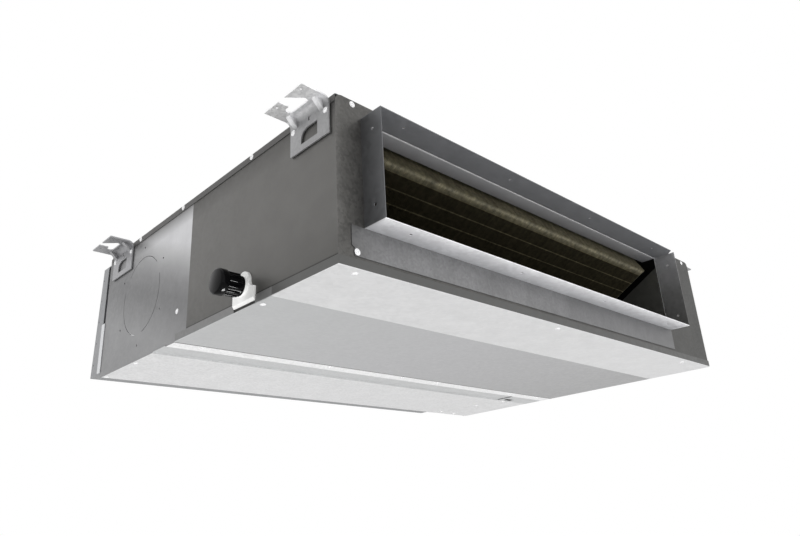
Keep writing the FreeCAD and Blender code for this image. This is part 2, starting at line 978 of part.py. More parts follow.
# Inlet flange: its left strip stands off the side sheet and leaves the filter slot
def make_inlet_flange():
    low, high = S.inlet_low, inlet_high
    top_end = rear + S.inlet_top_projection
    bottom_end = rear + S.inlet_bottom_projection

    def draw_top(sketch):
        outline(
            sketch,
            (rear, high - t),
            (top_end, high - t),
            (top_end, high),
            (rear + t, high),
            (rear + t, high + S.inlet_lip),
            (rear, high + S.inlet_lip),
        )

    def draw_bottom(sketch):
        outline(
            sketch,
            (rear, low - S.inlet_lip),
            (rear + t, low - S.inlet_lip),
            (rear + t, low),
            (bottom_end, low),
            (bottom_end, low + t),
            (rear, low + t),
        )

    def draw_strip(start):
        def draw(sketch):
            outline(
                sketch,
                (start, low + t),
                (bottom_end, low + t),
                (top_end, high - t),
                (start, high - t),
            )

        return draw

    strip_start = filter_rear + S.slot_clearance
    extrusion("inlet_flange_top", "X", (inlet_left, inlet_right), draw_top)
    extrusion("inlet_flange_bottom", "X", (inlet_left, inlet_right), draw_bottom)
    walls = (
        ("left", (inlet_left, inlet_left + t), draw_strip(strip_start)),
        ("right", (inlet_right - t, inlet_right), draw_strip(rear)),
    )
    for hand, span, draw in walls:
        label = f"inlet_flange_{hand}"
        wall = section_body(f"{label}_wall", "X", span, draw)
        if hand == "left":
            inward = (inlet_left, inlet_left + S.inlet_return)
            depth = (strip_start, strip_start + t)
            wall = fuse(f"{label}_fold", wall, box("inlet_return", inward, depth, (low + t, high - t)))
        count = int(SIZES["inlet_holes"])
        pitch = (high - low - 2 * S.inlet_end_hole) / (count - 1)
        drills = []
        for index in range(count):
            level = low + S.inlet_end_hole + index * pitch
            slant = (bottom_end - top_end) * (level - low) / (high - low)
            foot = (span[0] - t, bottom_end - slant - S.inlet_hole_setback, level)
            drills.append(rod(f"{label}_drill_{index}", "X", foot, S.inlet_hole_radius, 3 * t))
        sub_part(label, cut(label, wall, *drills))


def make_filter():
    """Slide-out air filter: frame with a pull plate, mesh, and its two guide channels."""
    gap = S.filter_clearance
    sheet = S.guide_sheet
    low = S.inlet_low + t + sheet + gap
    high = inlet_high - t - sheet - gap
    bar = S.filter_bar
    cell = (filter_right - filter_left - (S.filter_mullions + 1) * bar) / S.filter_mullions

    def draw_frame(sketch):
        rectangle(sketch, (filter_left, filter_right), (low, high))
        for index in range(int(SIZES["filter_mullions"])):
            start = filter_left + bar + index * (cell + bar)
            rectangle(sketch, (start, start + cell), (low + bar, high - bar))

    frame_body = section_body("filter_bars", "Y", (filter_front, filter_rear), draw_frame)
    plate_right = skin_left - S.running_gap
    plate_left = plate_right - S.pull_plate_sheet
    plate_levels = (low, low + S.pull_plate_height)
    edge = S.pull_plate_lap
    frame = fuse(
        "filter_frame",
        frame_body,
        box("pull_tab", (plate_right, filter_left), (filter_front, filter_rear), plate_levels),
        box(
            "pull_plate",
            (plate_left, plate_right),
            (filter_front - edge, filter_rear + edge),
            plate_levels,
        ),
    )
    sub_part("filter_frame", frame)
    cells = []
    middle = filter_front + (S.filter_thickness - S.mesh_thickness) / 2
    for index in range(int(SIZES["filter_mullions"])):
        start = filter_left + bar + index * (cell + bar)
        span = (middle, middle + S.mesh_thickness)
        cells.append(box(f"mesh_{index}", (start, start + cell), span, (low + bar, high - bar)))
    sub_part("filter_mesh", gather("filter_mesh", *cells))

    def channel(base, lip_end):
        def draw(sketch):
            outer = (filter_front - gap - sheet, filter_rear + gap + sheet)
            floor = base + sheet if lip_end.number > base.number else base - sheet
            outline(
                sketch,
                (outer[0], base),
                (outer[1], base),
                (outer[1], lip_end),
                (outer[1] - sheet, lip_end),
                (outer[1] - sheet, floor),
                (outer[0] + sheet, floor),
                (outer[0] + sheet, lip_end),
                (outer[0], lip_end),
            )

        return draw

    span = (inlet_left, inlet_right - t)
    bottom = S.inlet_low + t
    head = inlet_high - t
    guides = (
        section_body("guide_bottom", "X", span, channel(bottom, bottom + S.guide_height)),
        section_body("guide_top", "X", span, channel(head, head - S.guide_height)),
    )
    sub_part("filter_guides", gather("filter_guides", *guides))


# Hanger brackets
def make_bracket(label, side, middle):
    """One folded bracket with its rod slot, stiffening gussets and window.

    It is drawn for the left side about its own middle, and turned round for the right side.
    """
    body = new_body(label)
    thick = S.bracket_sheet
    half = S.bracket_width / 2
    foot = bracket_level - S.bracket_leg + thick
    bend = S.bracket_bend_radius
    inner = bend - thick
    profile = sketch_across(body, "Y", -half)
    outline(
        profile,
        (-S.bracket_reach, bracket_level),
        (-thick - inner, bracket_level),
        Bend(inner, (-thick, bracket_level - inner), -1),
        (-thick, foot),
        (ZERO, foot),
        (ZERO, bracket_level + thick - bend),
        Bend(bend, (-bend, bracket_level + thick), 1),
        (-S.bracket_reach, bracket_level + thick),
    )
    pad(profile, "Y", S.bracket_width)
    for index, shift in enumerate((-S.gusset_spacing / 2, S.gusset_spacing / 2)):
        gusset = sketch_across(body, "Y", shift - S.gusset_width / 2)
        size = S.gusset_size
        outline(
            gusset,
            (-thick - size, bracket_level),
            (-thick, bracket_level - size),
            (-thick, bracket_level),
        )
        pad(gusset, "Y", S.gusset_width)
    axis = -S.rod_slot_reach
    radius = S.rod_slot_radius
    centre = S.rod_slot_length / 2 - radius
    straight = sketch_across(body, "Z")
    rectangle(straight, (axis - radius, axis + radius), (-centre, centre))
    pocket(straight, "Z")
    ends = sketch_across(body, "Z")
    circle(ends, (axis, -centre), radius)
    circle(ends, (axis, centre), radius)
    pocket(ends, "Z")
    mouth = sketch_across(body, "Z")
    beyond = -S.bracket_reach - 2 * thick
    outline(
        mouth,
        (beyond, S.slot_mouth_rear),
        (beyond, -S.slot_mouth_front),
        (-S.bracket_reach, -S.slot_mouth_front),
        on_circle((axis, -centre), radius, S.slot_mouth_angle),
        (axis, -centre),
        (axis, S.slot_mouth_rear),
    )
    pocket(mouth, "Z")
    window = sketch_across(body, "X", -2 * thick)
    low = foot + S.window_rise
    high = low + S.window_height
    near = -S.window_width / 2
    far = S.window_width / 2
    corner = S.window_corner_radius
    outline(
        window,
        (near, low),
        (far, low),
        (far, high - corner),
        Bend(corner, (far - corner, high), 1),
        (near, high),
    )
    pocket(window, "X")
    slot = sketch_across(body, "X", -2 * thick)
    slot_middle = bracket_level - bend
    slot_ends = (slot_middle - S.bend_slot_length / 2, slot_middle + S.bend_slot_length / 2)
    rectangle(slot, (-S.bend_slot_width / 2, S.bend_slot_width / 2), slot_ends)
    pocket(slot, "X")
    holes = sketch_across(body, "Z")
    edge = S.bracket_hole_inset - S.bracket_reach
    circle(holes, (edge, S.bracket_hole_front - half), S.bracket_hole_radius)
    circle(holes, (edge, half - S.bracket_hole_rear), S.bracket_hole_radius)
    pocket(holes, "Z")
    turn = 0 if side < 0 else 180
    body.Placement = FreeCAD.Placement(Vector(), Rotation(Vector(0, 0, 1), turn))
    move(body, left if side < 0 else right, middle, ZERO)


def make_brackets():
    front_middle = front + S.front_bracket_depth
    for side, hand in ((-1, "left"), (1, "right")):
        make_bracket(f"hanger_bracket_front_{hand}", side, front_middle)
        make_bracket(f"hanger_bracket_rear_{hand}", side, front_middle + S.rod_pitch)


# Coil: everything is placed in the coil's own frame, which leans back from its top front corner
def on_slab(along, across):
    """The y and z of a point a way down the coil's face and a way up through its depth."""
    y = front + S.coil_corner_depth + along * cosine(coil_lean) + across * sine(coil_lean)
    z = coil_corner_height - along * sine(coil_lean) + across * cosine(coil_lean)
    return y, z


def make_coil():
    """Fin pack, end plates, return bends and the gas header."""
    inset = S.coil_inset
    length = S.coil_rows * S.tube_pitch
    start = left + S.coil_left_margin
    end = coil_wall - S.coil_right_gap
    proud = S.fin_proud
    body = new_body("coil_fins")
    core = sketch_across(body, "X", start)
    rectangle(
        core,
        (inset + proud, inset + length - proud),
        (inset + proud, inset + S.coil_thickness - proud),
    )
    pad(core, "X", end - start)
    fin = sketch_across(body, "X", start)
    rectangle(fin, (inset, inset + length), (inset, inset + S.coil_thickness))
    plate = pad(fin, "X", S.fin_sheet)
    row_of(body, plate, "X_Axis", end - start - S.fin_sheet, S.fin_count)
    tilt(body)

    def draw_wall(sketch):
        rectangle(sketch, (face_back + 2 * t, deck), (t, ceiling))

    extrusion("coil_end_plate_right", "X", (coil_wall, coil_wall + t), draw_wall)

    def draw_left_plate(sketch):
        outline(
            sketch,
            on_slab(ZERO, ZERO),
            (pan_front + S.pan_wall, S.pan_height),
            (pan_rear, S.pan_height),
            on_slab(slab_length, slab_depth),
            on_slab(ZERO, slab_depth),
        )

    extrusion("coil_end_plate_left", "X", (start - t, start), draw_left_plate)


def make_return_bends():
    """U-bends that join the tubes of the front row outside the right end plate."""
    body = new_body("coil_return_bends")
    first = S.coil_inset + S.tube_pitch / 2
    row = S.coil_inset + S.coil_thickness / 4
    reach = S.tube_pitch / 2
    radius = S.tube_radius
    half = radius * math.tan(math.pi / 8)
    corners = (
        (radius, half),
        (half, radius),
        (-half, radius),
        (-radius, half),
        (-radius, -half),
        (-half, -radius),
        (half, -radius),
        (radius, -half),
    )
    section = sketch_across(body, "X", coil_wall + t)
    bind(section, "AttachmentOffset.Base.x", first + reach)
    outline(section, *[(u - reach, row + v) for u, v in corners])
    turn = body.newObject("PartDesign::Revolution", "return_bend")
    turn.Profile = section
    turn.ReferenceAxis = (section, ["V_Axis"])
    turn.Angle = 180
    bends = S.coil_rows / 2
    row_of(body, turn, "Y_Axis", (bends - 1) * 2 * S.tube_pitch, bends)
    tilt(body)


def make_header():
    """Gas header beside the coil, with the stubs that join it to the rear row of tubes."""
    across = S.coil_inset + S.coil_thickness * 3 / 4
    centre = coil_wall + t + S.header_offset
    pipe = rod(
        "header_pipe", "Y", (centre, S.header_start, across), S.header_radius, S.header_length
    )
    pieces = [pipe]
    count = int(SIZES["header_stubs"])
    pitch = S.header_length / count
    for index in range(count):
        along = S.header_start + pitch * (index + 0.5)
        foot = (coil_wall + t, along, across)
        pieces.append(rod(f"header_stub_{index}", "X", foot, S.tube_radius, S.header_offset))
    sub_part("coil_header", tilt(fuse("coil_header", *pieces)))


def tilt(obj):
    """Leans an object that is drawn in the coil's frame, and puts it at the coil's corner."""
    obj.Placement = FreeCAD.Placement(Vector(), Rotation(Vector(-1, 0, 0), coil_lean.number))
    bind(obj, "Placement.Rotation.Angle", coil_lean)
    move(obj, ZERO, front + S.coil_corner_depth, coil_corner_height)
    return obj


# Refrigerant pipes on the right side
def pipe_places():
    """The axis of the gas pipe and of the liquid pipe, as (y, z)."""
    gas = on_slab(S.gas_pipe_row, S.coil_inset + S.coil_thickness * 3 / 4)
    liquid = on_slab(S.liquid_pipe_row, S.coil_inset + S.coil_thickness / 4)
    return gas, liquid


def pipe_plate_window():
    """The opening behind the pipe plate: low, high, front and rear."""
    gas, liquid = pipe_places()
    margin = S.pipe_plate_margin
    return liquid[1] - margin, gas[1] + margin, gas[0] - margin, liquid[0] + margin


def make_pipe(name, centre, start, radius):
    """One pipe with its flare union outside the casing, and the flare nut on the union."""
    union_start = right + S.pipe_reach
    union_end = union_start + S.union_length
    union_radius = radius + S.union_wall
    bore = radius - S.pipe_wall
    turned(
        f"{name}_pipe",
        centre,
        (start, bore),
        (start, radius),
        (union_start, radius),
        (union_start, union_radius),
        (union_end, union_radius),
        (union_end, bore),
    )
    across = (union_radius + S.nut_wall) / math.cos(math.pi / 6)
    clearance = S.nut_bore_clearance
    shoulder = union_start + S.nut_length - S.nut_mouth
    body = hexagon(f"{name}_nut_hex", "X", (union_start, *centre), across, S.nut_length)
    thread = rod(
        f"{name}_nut_thread",
        "X",
        (union_start - t, *centre),
        union_radius + clearance,
        shoulder - union_start + t,
    )
    mouth = rod(
        f"{name}_nut_mouth", "X", (union_start, *centre), radius + clearance, S.nut_length + t
    )
    sub_part(f"{name}_flare_nut", cut(f"{name}_flare_nut", body, thread, mouth))


def make_pipes():
    gas, liquid = pipe_places()
    header_side = coil_wall + t + S.header_offset + S.header_radius
    make_pipe("gas", gas, header_side, S.gas_pipe_radius)
    make_pipe("liquid", liquid, coil_wall + t, S.liquid_pipe_radius)
    low, high, window_front, window_rear = pipe_plate_window()
    lap = S.pipe_plate_lap

    def draw(sketch):
        rectangle(sketch, (window_front - lap, window_rear + lap), (low - lap, high + lap))
        circle(sketch, gas, S.gas_pipe_radius + S.seat_gap)
        circle(sketch, liquid, S.liquid_pipe_radius + S.seat_gap)

    extrusion("pipe_plate", "X", (skin_right, right), draw)


# Drain
def make_drain():
    """Insulated drain pan, the outlet that leads through the left side, and its plug."""
    wall = S.pan_wall
    pan_left = left + S.pan_margin
    pan_right = coil_wall - S.seat_gap
    pan = cut(
        "drain_pan",
        box("pan_block", (pan_left, pan_right), (pan_front, pan_rear), (t, S.pan_height)),
        box(
            "pan_tray",
            (pan_left + wall, pan_right - wall),
            (pan_front + wall, pan_rear - wall),
            (S.pan_floor, S.pan_height + t),
        ),
        rod("pan_hole", "X", (pan_left - t, *drain_axis), S.spigot_radius, wall + 2 * t),
    )
    sub_part("drain_pan", pan)

    body = new_body("drain_outlet")
    plate = sketch_across(body, "X", left - S.drain_plate_proud)
    arch = S.drain_arch_radius
    flare = S.drain_flare
    base = S.drain_plate_width / 2
    height = S.drain_arch_height - S.drain_height
    low = S.drain_plate_low - S.drain_height
    shoulder = height - S.seat_gap
    outline(
        plate,
        (-base, low),
        (base, low),
        (base, shoulder - flare),
        Bend(flare, (arch, shoulder), -1),
        (arch, height),
        Bend(arch, (ZERO, height + arch), 1),
        Bend(arch, (-arch, height), 1),
        (-arch, shoulder),
        Bend(flare, (-base, shoulder - flare), -1),
    )
    pad(plate, "X", S.drain_plate_proud + t)
    slope = sketch_across(body, "Y")
    outline(
        slope,
        (left - S.drain_plate_proud, low - t),
        (left, low - t),
        (left, low),
        (left - S.drain_plate_proud, low + S.drain_plate_slope),
    )
    pocket(slope, "Y")
    hub = sketch_across(body, "X", left - S.drain_plate_proud - S.spigot_hub_length)
    circle(hub, (ZERO, ZERO), S.spigot_hub_radius)
    pad(hub, "X", S.spigot_hub_length)
    tube = sketch_across(body, "X", left - S.spigot_length)
    circle(tube, (ZERO, ZERO), S.spigot_radius)
    pad(tube, "X", S.spigot_length + S.pan_margin + wall)
    bore = sketch_across(body, "X")
    circle(bore, (ZERO, ZERO), S.spigot_bore)
    pocket(bore, "X")
    move(body, ZERO, *drain_axis)
    make_plug()


def make_plug():
    """Push-on plug: a hollow cap with a thicker grip at its closed end and ribs round it."""
    near = left - S.plug_start
    far = near - S.plug_length
    bore = S.spigot_radius + S.running_gap
    barrel = bore + S.plug_wall
    grip = far + S.plug_head_length
    round_off = S.plug_wall
    body = turned(
        "drain_plug",
        drain_axis,
        (near, bore),
        (near, barrel),
        (grip, barrel),
        (grip, S.plug_head_radius),
        (far + round_off, S.plug_head_radius),
        Bend(round_off, (far, S.plug_head_radius - round_off), 1),
        (far, ZERO),
        (far + S.plug_wall, ZERO),
        (far + S.plug_wall, bore),
    )
    rib = sketch_across(body, "X", grip)
    width = S.plug_rib_width / 2
    rectangle(rib, (-width, width), (barrel - S.seat_gap, barrel + S.plug_rib))
    ridge = pad(rib, "X", near - grip - S.plug_wall)
    ring_of(body, ridge, (plane_of(body, "X_Axis"), [""]), S.plug_ribs)


# Fan section
def make_fan_deck():
    """Upright sheet between the fans and the coil, open at the mouths of the two blowers."""
    low, high = mouth_levels()

    def draw(sketch):
        rectangle(sketch, (inner_left, inner_right), (t, side_top))
        for side in (-1, 1):
            middle = S.fan_offset + side * S.blower_pitch / 2
            half = S.scroll_width / 2 - S.scroll_sheet
            rectangle(sketch, (middle - half, middle + half), (low, high))

    extrusion("fan_deck", "Y", (deck, deck + t), draw)


def mouth_levels():
    """The lower and upper edge of a blower's mouth, inside its sheet."""
    sheet = S.scroll_sheet
    low = fan_height + S.tongue_height + sheet
    high = fan_height + scroll_radius + S.scroll_step * 5 / 2 - sheet
    return low, high


def scroll_outline(sketch, inset, mouth):
    """Volute of three quarter arcs about the corners of a small square, then the mouth."""
    step = S.scroll_step
    half = step / 2
    radius = scroll_radius - inset
    second = radius + step
    third = radius + 2 * step
    floor = S.tongue_height + inset
    tongue = half - root(radius * radius - (floor + half) * (floor + half))
    outline(
        sketch,
        (mouth, floor),
        (tongue, floor),
        Bend(radius, (half, -half - radius), 1),
        Bend(second, (half + second, half), 1),
        Bend(third, (-half, half + third), 1),
        (mouth, half + third),
    )


def make_blower(hand, side):
    """Scroll housing and double-inlet wheel of one blower."""
    centre = S.fan_offset + side * S.blower_pitch / 2
    sheet = S.scroll_sheet
    mouth = deck + t - fan_axis[0]
    housing = new_body(f"blower_scroll_{hand}")
    shell = sketch_across(housing, "X")
    scroll_outline(shell, ZERO, mouth)
    pad(shell, "X", S.scroll_width, middle=True)
    hollow = sketch_across(housing, "X")
    scroll_outline(hollow, sheet, mouth - t)
    pocket(hollow, "X", S.scroll_width - 2 * sheet, middle=True)
    inlets = sketch_across(housing, "X")
    circle(inlets, (ZERO, ZERO), scroll_inlet)
    pocket(inlets, "X")
    for start in (-S.scroll_width / 2 - S.bellmouth_height, S.scroll_width / 2):
        ring = sketch_across(housing, "X", start)
        circle(ring, (ZERO, ZERO), scroll_inlet)
        circle(ring, (ZERO, ZERO), scroll_inlet + 2 * sheet)
        pad(ring, "X", S.bellmouth_height)
    move(housing, centre, *fan_axis)
    make_wheel(f"blower_wheel_{hand}", centre)


def make_wheel(label, centre):
    """Squirrel-cage wheel: curved blades between two rings, on a disc and a hub."""
    body = new_body(label)
    outer = wheel_radius
    inner = outer - S.blade_depth
    sheet = S.blade_sheet
    disc = sketch_across(body, "X")
    circle(disc, (ZERO, ZERO), inner + sheet)
    pad(disc, "X", S.wheel_disc, middle=True)
    hub = sketch_across(body, "X")
    circle(hub, (ZERO, ZERO), S.hub_radius)
    pad(hub, "X", S.hub_length, middle=True)
    blade = sketch_across(body, "X")
    sweep = S.blade_sweep
    tip = on_circle((ZERO, ZERO), outer, sweep)
    outline(
        blade,
        (inner, ZERO),
        Bend(S.blade_curve, tip, 1),
        (tip[0] - sheet * sine(sweep), tip[1] + sheet * cosine(sweep)),
        Bend(S.blade_curve, (inner, sheet), -1),
    )
    fin = pad(blade, "X", S.wheel_width, middle=True)
    ring_of(body, fin, (plane_of(body, "X_Axis"), [""]), S.blade_count)
    for place in (-S.wheel_width / 2, S.wheel_width / 2 - S.wheel_ring):
        rim = sketch_across(body, "X", place)
        circle(rim, (ZERO, ZERO), inner)
        circle(rim, (ZERO, ZERO), outer + sheet)
        pad(rim, "X", S.wheel_ring)
    bore = sketch_across(body, "X")
    circle(bore, (ZERO, ZERO), S.shaft_radius)
    pocket(bore, "X")
    move(body, centre, *fan_axis)


def make_motor():
    """Double-shaft motor: housing, bearings, rotor and the shaft that carries the wheels."""
    half = S.motor_length / 2
    end = half + S.motor_bell
    seat = S.bearing_radius
    hollow = S.rotor_radius + S.air_gap
    inside = end - S.bearing_length
    middle = S.fan_offset
    turned(
        "fan_motor",
        fan_axis,
        (middle - end, seat),
        (middle - end, S.motor_bell_radius),
        (middle - half, S.motor_radius),
        (middle + half, S.motor_radius),
        (middle + end, S.motor_bell_radius),
        (middle + end, seat),
        (middle + inside, seat),
        (middle + inside, hollow),
        (middle - inside, hollow),
        (middle - inside, seat),
    )
    bore = S.shaft_radius + S.bearing_clearance
    bearings = []
    for name, low in (("bearing_left", middle - end), ("bearing_right", middle + inside)):
        high = low + S.bearing_length
        ring = ((low, bore), (low, seat), (high, seat), (high, bore))
        bearings.append(turned_body(name, fan_axis, *ring))
    sub_part("motor_bearings", gather("motor_bearings", *bearings))
    low = middle - S.rotor_length / 2
    high = middle + S.rotor_length / 2
    shaft = S.shaft_radius
    ring = ((low, shaft), (low, S.rotor_radius), (high, S.rotor_radius), (high, shaft))
    turned("motor_rotor", fan_axis, *ring)
    reach = S.blower_pitch / 2 + S.hub_length / 2 + S.shaft_end
    sub_part("fan_shaft", rod("fan_shaft", "X", (middle - reach, *fan_axis), shaft, 2 * reach))


def make_motor_mount():
    """Plate under the motor, and two straps that hold the motor down on it."""
    radius = S.motor_radius
    strap = S.strap_sheet
    outer = radius + strap
    foot = outer + S.strap_foot

    def draw_strap(sketch):
        outline(
            sketch,
            (-foot, -radius),
            (-radius, -radius),
            (-radius, ZERO),
            Bend(radius, (ZERO, radius), -1),
            Bend(radius, (radius, ZERO), -1),
            (radius, -radius),
            (foot, -radius),
            (foot, strap - radius),
            (outer, strap - radius),
            (outer, ZERO),
            Bend(outer, (ZERO, outer), 1),
            Bend(outer, (-outer, ZERO), 1),
            (-outer, strap - radius),
            (-foot, strap - radius),
        )

    straps = []
    for name, side in (("strap_left", -1), ("strap_right", 1)):
        start = S.fan_offset + side * S.strap_pitch / 2 - S.strap_width / 2
        band = section_body(name, "X", (start, start + S.strap_width), draw_strap)
        move(band, ZERO, *fan_axis)
        straps.append(band)
    sub_part("motor_straps", gather("motor_straps", *straps))

    def draw_plate(sketch):
        near = deck + t
        far = fan_axis[0] + S.motor_plate_reach
        level = fan_height - radius
        plate = S.motor_plate_sheet
        outline(
            sketch,
            (near, level - plate),
            (far, level - plate),
            (far, level + S.motor_plate_edge),
            (far - plate, level + S.motor_plate_edge),
            (far - plate, level),
            (near + plate, level),
            (near + plate, level + S.motor_plate_lip),
            (near, level + S.motor_plate_lip),
        )

    half = S.motor_length / 2
    extrusion("motor_plate", "X", (S.fan_offset - half, S.fan_offset + half), draw_plate)


# Controls
def make_controls():
    """Control box behind the right rear side sheet, with its cover, board and terminals."""
    y = (front + S.control_start, front + S.control_end)
    z = (S.control_low, control_high)
    base = inner_right - S.control_reach
    tray = cut(
        "control_box",
        box("control_block", (base, inner_right), y, z),
        box(
            "control_hollow",
            (base + t, inner_right + t),
            (y[0] + t, y[1] - t),
            (z[0] + t, z[1] - t),
        ),
    )
    sub_part("control_box", tray)
    lap = S.control_lap
    cover = box(
        "control_cover", (skin_right, right), (y[0] - lap, y[1] + lap), (z[0] - lap, z[1] + lap)
    )
    sub_part("control_cover", cover)
    floor = base + t
    inset = S.board_inset
    board_y = (y[0] + inset, y[0] + inset + S.board_length)
    board_z = (z[0] + inset, z[1] - inset)
    face_x = floor + S.board_standoff
    pieces = [box("board_plate", (face_x, face_x + S.board_sheet), board_y, board_z)]
    post = S.standoff_radius
    for i, place_y in enumerate((board_y[0] + 2 * post, board_y[1] - 2 * post)):
        for j, place_z in enumerate((board_z[0] + 2 * post, board_z[1] - 2 * post)):
            foot = (floor, place_y, place_z)
            pieces.append(hexagon(f"standoff_{i}{j}", "X", foot, post, S.board_standoff))
    sub_part("control_board", fuse("control_board", *pieces))
    block_y = y[1] - inset - S.terminal_width
    block_z = z[0] + inset
    rib = S.terminal_rib
    height = S.terminal_height
    pieces = [
        box(
            "terminal_base",
            (floor, floor + height),
            (block_y, block_y + S.terminal_width),
            (block_z, block_z + S.terminal_length),
        )
    ]
    ways = int(SIZES["terminal_ways"])
    pitch = (S.terminal_length - rib) / ways
    for index in range(ways + 1):
        low = block_z + index * pitch
        pieces.append(
            box(
                f"terminal_rib_{index}",
                (floor + height, floor + height + 2 * rib),
                (block_y, block_y + S.terminal_width),
                (low, low + rib),
            )
        )
    sub_part("terminal_block", fuse("terminal_block", *pieces))
    radius = S.capacitor_radius
    foot = (floor + radius, block_y - 2 * radius, z[0] + t)
    sub_part("run_capacitor", rod("run_capacitor", "Z", foot, radius, S.capacitor_length))


def make_insulation():
    foam = box(
        "top_insulation",
        (inner_left + S.insulation_inset, coil_wall),
        (front + S.guide_plate_end + S.seat_gap, deck),
        (ceiling - S.insulation, ceiling),
    )
    sub_part("top_insulation", foam)


# Screws: a head on the sheet and a shank that bites into it
def screw(name, axis, place, inward, head_radius, head, shank_radius, length):
    """One screw. place is on the sheet's face, and inward is the sign of the way it goes in."""
    index = "XYZ".index(axis)
    head_foot = list(place)
    shank_foot = list(place)
    if inward > 0:
        head_foot[index] = place[index] - head
    else:
        shank_foot[index] = place[index] - length
    return fuse(
        name,
        hexagon(f"{name}_head", axis, head_foot, head_radius, head),
        hexagon(f"{name}_shank", axis, shank_foot, shank_radius, length),
    )


FRONT_ROW = (0.034, 0.456, 0.896)
SERVICE_ROW = (0.051, 0.307, 0.492, 0.595, 0.842, 0.951)
LIP_ROW = (0.282, 0.585, 0.82)


def make_casing_screws():
    """Screws of the casing sheets. The rows give shares of the casing's width or depth."""
    places = []
    for share in FRONT_ROW:
        places.append(("Z", (left + S.casing_width * share, front + S.front_screw_row, ZERO), 1))
    service_row = service_joint + S.service_screw_row
    for share in SERVICE_ROW:
        places.append(("Z", (left + S.casing_width * share, service_row, ZERO), 1))
    edge = S.edge_screw_row
    middle = front + S.casing_depth * 0.81
    slot_middle = right - S.cable_slot_margin - S.cable_slot_length / 2
    for x, y in (
        (left + edge, middle),
        (left + edge, rear - edge),
        (panel_right - edge, rear - 3 * edge),
        (panel_right + edge, middle),
        (slot_middle, front + S.cable_slot_depth + S.cable_slot_width + edge * 3 / 2),
        (panel_right + 7 * edge, rear - 2 * edge),
    ):
        places.append(("Z", (x, y, ZERO), 1))
    lip = top - S.top_lip / 2
    for side, inward in ((left, 1), (right, -1)):
        for share in LIP_ROW:
            places.append(("X", (side, front + S.casing_depth * share, lip), inward))
    places.append(("X", (skin_left, service_joint, S.side_screw_height), 1))
    for x in (left + S.rim_screw_margin, right - S.rim_screw_margin):
        places.append(("Y", (x, face, lip), 1))
    places.append(("Y", (left + S.rim_screw_margin, front, S.rim_screw_height), 1))
    screws = [
        screw(
            f"casing_screw_{number}",
            axis,
            place,
            inward,
            S.screw_head_radius,
            S.screw_head,
            S.screw_shank_radius,
            S.screw_length,
        )
        for number, (axis, place, inward) in enumerate(places)
    ]
    sub_part("casing_screws", gather("casing_screws", *screws))


def make_bracket_screws():
    screws = []
    level = top - S.bracket_screw_drop
    front_middle = front + S.front_bracket_depth
    for side, inward in ((left - S.bracket_sheet, 1), (right + S.bracket_sheet, -1)):
        for middle in (front_middle, front_middle + S.rod_pitch):
            for shift in (-S.bracket_screw_spacing / 2, S.bracket_screw_spacing / 2):
                screws.append(
                    screw(
                        f"bracket_screw_{len(screws)}",
                        "X",
                        (side, middle + shift, level),
                        inward,
                        S.bolt_head_radius,
                        S.bolt_head,
                        S.bolt_shank_radius,
                        S.bracket_sheet + S.screw_length,
                    )
                )
    sub_part("bracket_screws", gather("bracket_screws", *screws))


def finish():
    """Checks every object, then writes each sub-part to its own file."""
    doc.recompute()
    failed = [o.Name for o in doc.Objects if "Invalid" in o.State or "Error" in o.State]
    if failed:
        raise RuntimeError(f"failed objects: {failed}")
    os.makedirs("parts", exist_ok=True)
    for piece in sub_parts:
        shape = piece.Shape
        if shape.isNull() or not shape.isValid():
            raise RuntimeError(f"bad shape: {piece.Label}")
        shape.exportStep(f"parts/{piece.Label}.step")


make_top_panel()
make_front_panel()
make_lower_front_strip()
make_bottom_front_panel()
make_drain_pan_cover()
make_fan_access_panel()
make_bottom_right_strip()
make_side_panels()
make_rear_panel()
make_outlet_flange()
make_outlet_guide_plate()
make_inlet_flange()
make_filter()
make_brackets()
make_coil()
make_return_bends()
make_header()
make_pipes()
make_drain()
make_fan_deck()
make_blower("left", -1)
make_blower("right", 1)
make_motor()
make_motor_mount()
make_controls()
make_insulation()
make_casing_screws()
make_bracket_screws()
finish()
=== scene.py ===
"""Looks of a ducted air conditioner's indoor unit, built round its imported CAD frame."""
import math

import bmesh
import bpy
from mathutils import Matrix, Vector


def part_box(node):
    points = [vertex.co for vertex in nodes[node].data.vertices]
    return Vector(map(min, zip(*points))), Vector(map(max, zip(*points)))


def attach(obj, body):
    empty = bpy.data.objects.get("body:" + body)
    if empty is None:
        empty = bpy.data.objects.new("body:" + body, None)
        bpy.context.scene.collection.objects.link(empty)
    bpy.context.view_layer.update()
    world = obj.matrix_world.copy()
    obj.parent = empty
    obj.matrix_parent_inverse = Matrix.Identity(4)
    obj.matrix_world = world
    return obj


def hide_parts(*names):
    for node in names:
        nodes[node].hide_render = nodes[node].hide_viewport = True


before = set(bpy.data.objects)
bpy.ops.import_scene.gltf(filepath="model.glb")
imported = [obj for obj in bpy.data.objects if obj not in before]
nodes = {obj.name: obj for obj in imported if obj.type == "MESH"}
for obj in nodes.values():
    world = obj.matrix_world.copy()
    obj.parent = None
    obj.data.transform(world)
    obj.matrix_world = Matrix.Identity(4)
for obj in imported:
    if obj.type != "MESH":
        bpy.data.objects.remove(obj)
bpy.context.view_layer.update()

# ---- The view: under the front left corner of the hanging unit, looking up along its outlet.
# The eye stands 1.5 m from its middle, and the unit's bottom and left side are both seen.
across_view = Vector((0.72298, -0.68881, -0.05330)).normalized()
ahead = Vector((0.65724, 0.66197, 0.36032)).normalized()
up_view = across_view.cross(ahead).normalized()
turned = Matrix((across_view, up_view, -ahead)).transposed().to_4x4()
lens = bpy.data.cameras.new("photo_lens")
lens.sensor_width = 36.0
lens.lens = 30.59
lens.clip_start = 0.05
lens.clip_end = 60.0
eye = bpy.data.objects.new("photo_camera", lens)
eye.matrix_world = Matrix.Translation((-1.09259, -1.02904, -0.32791)) @ turned
bpy.context.scene.collection.objects.link(eye)
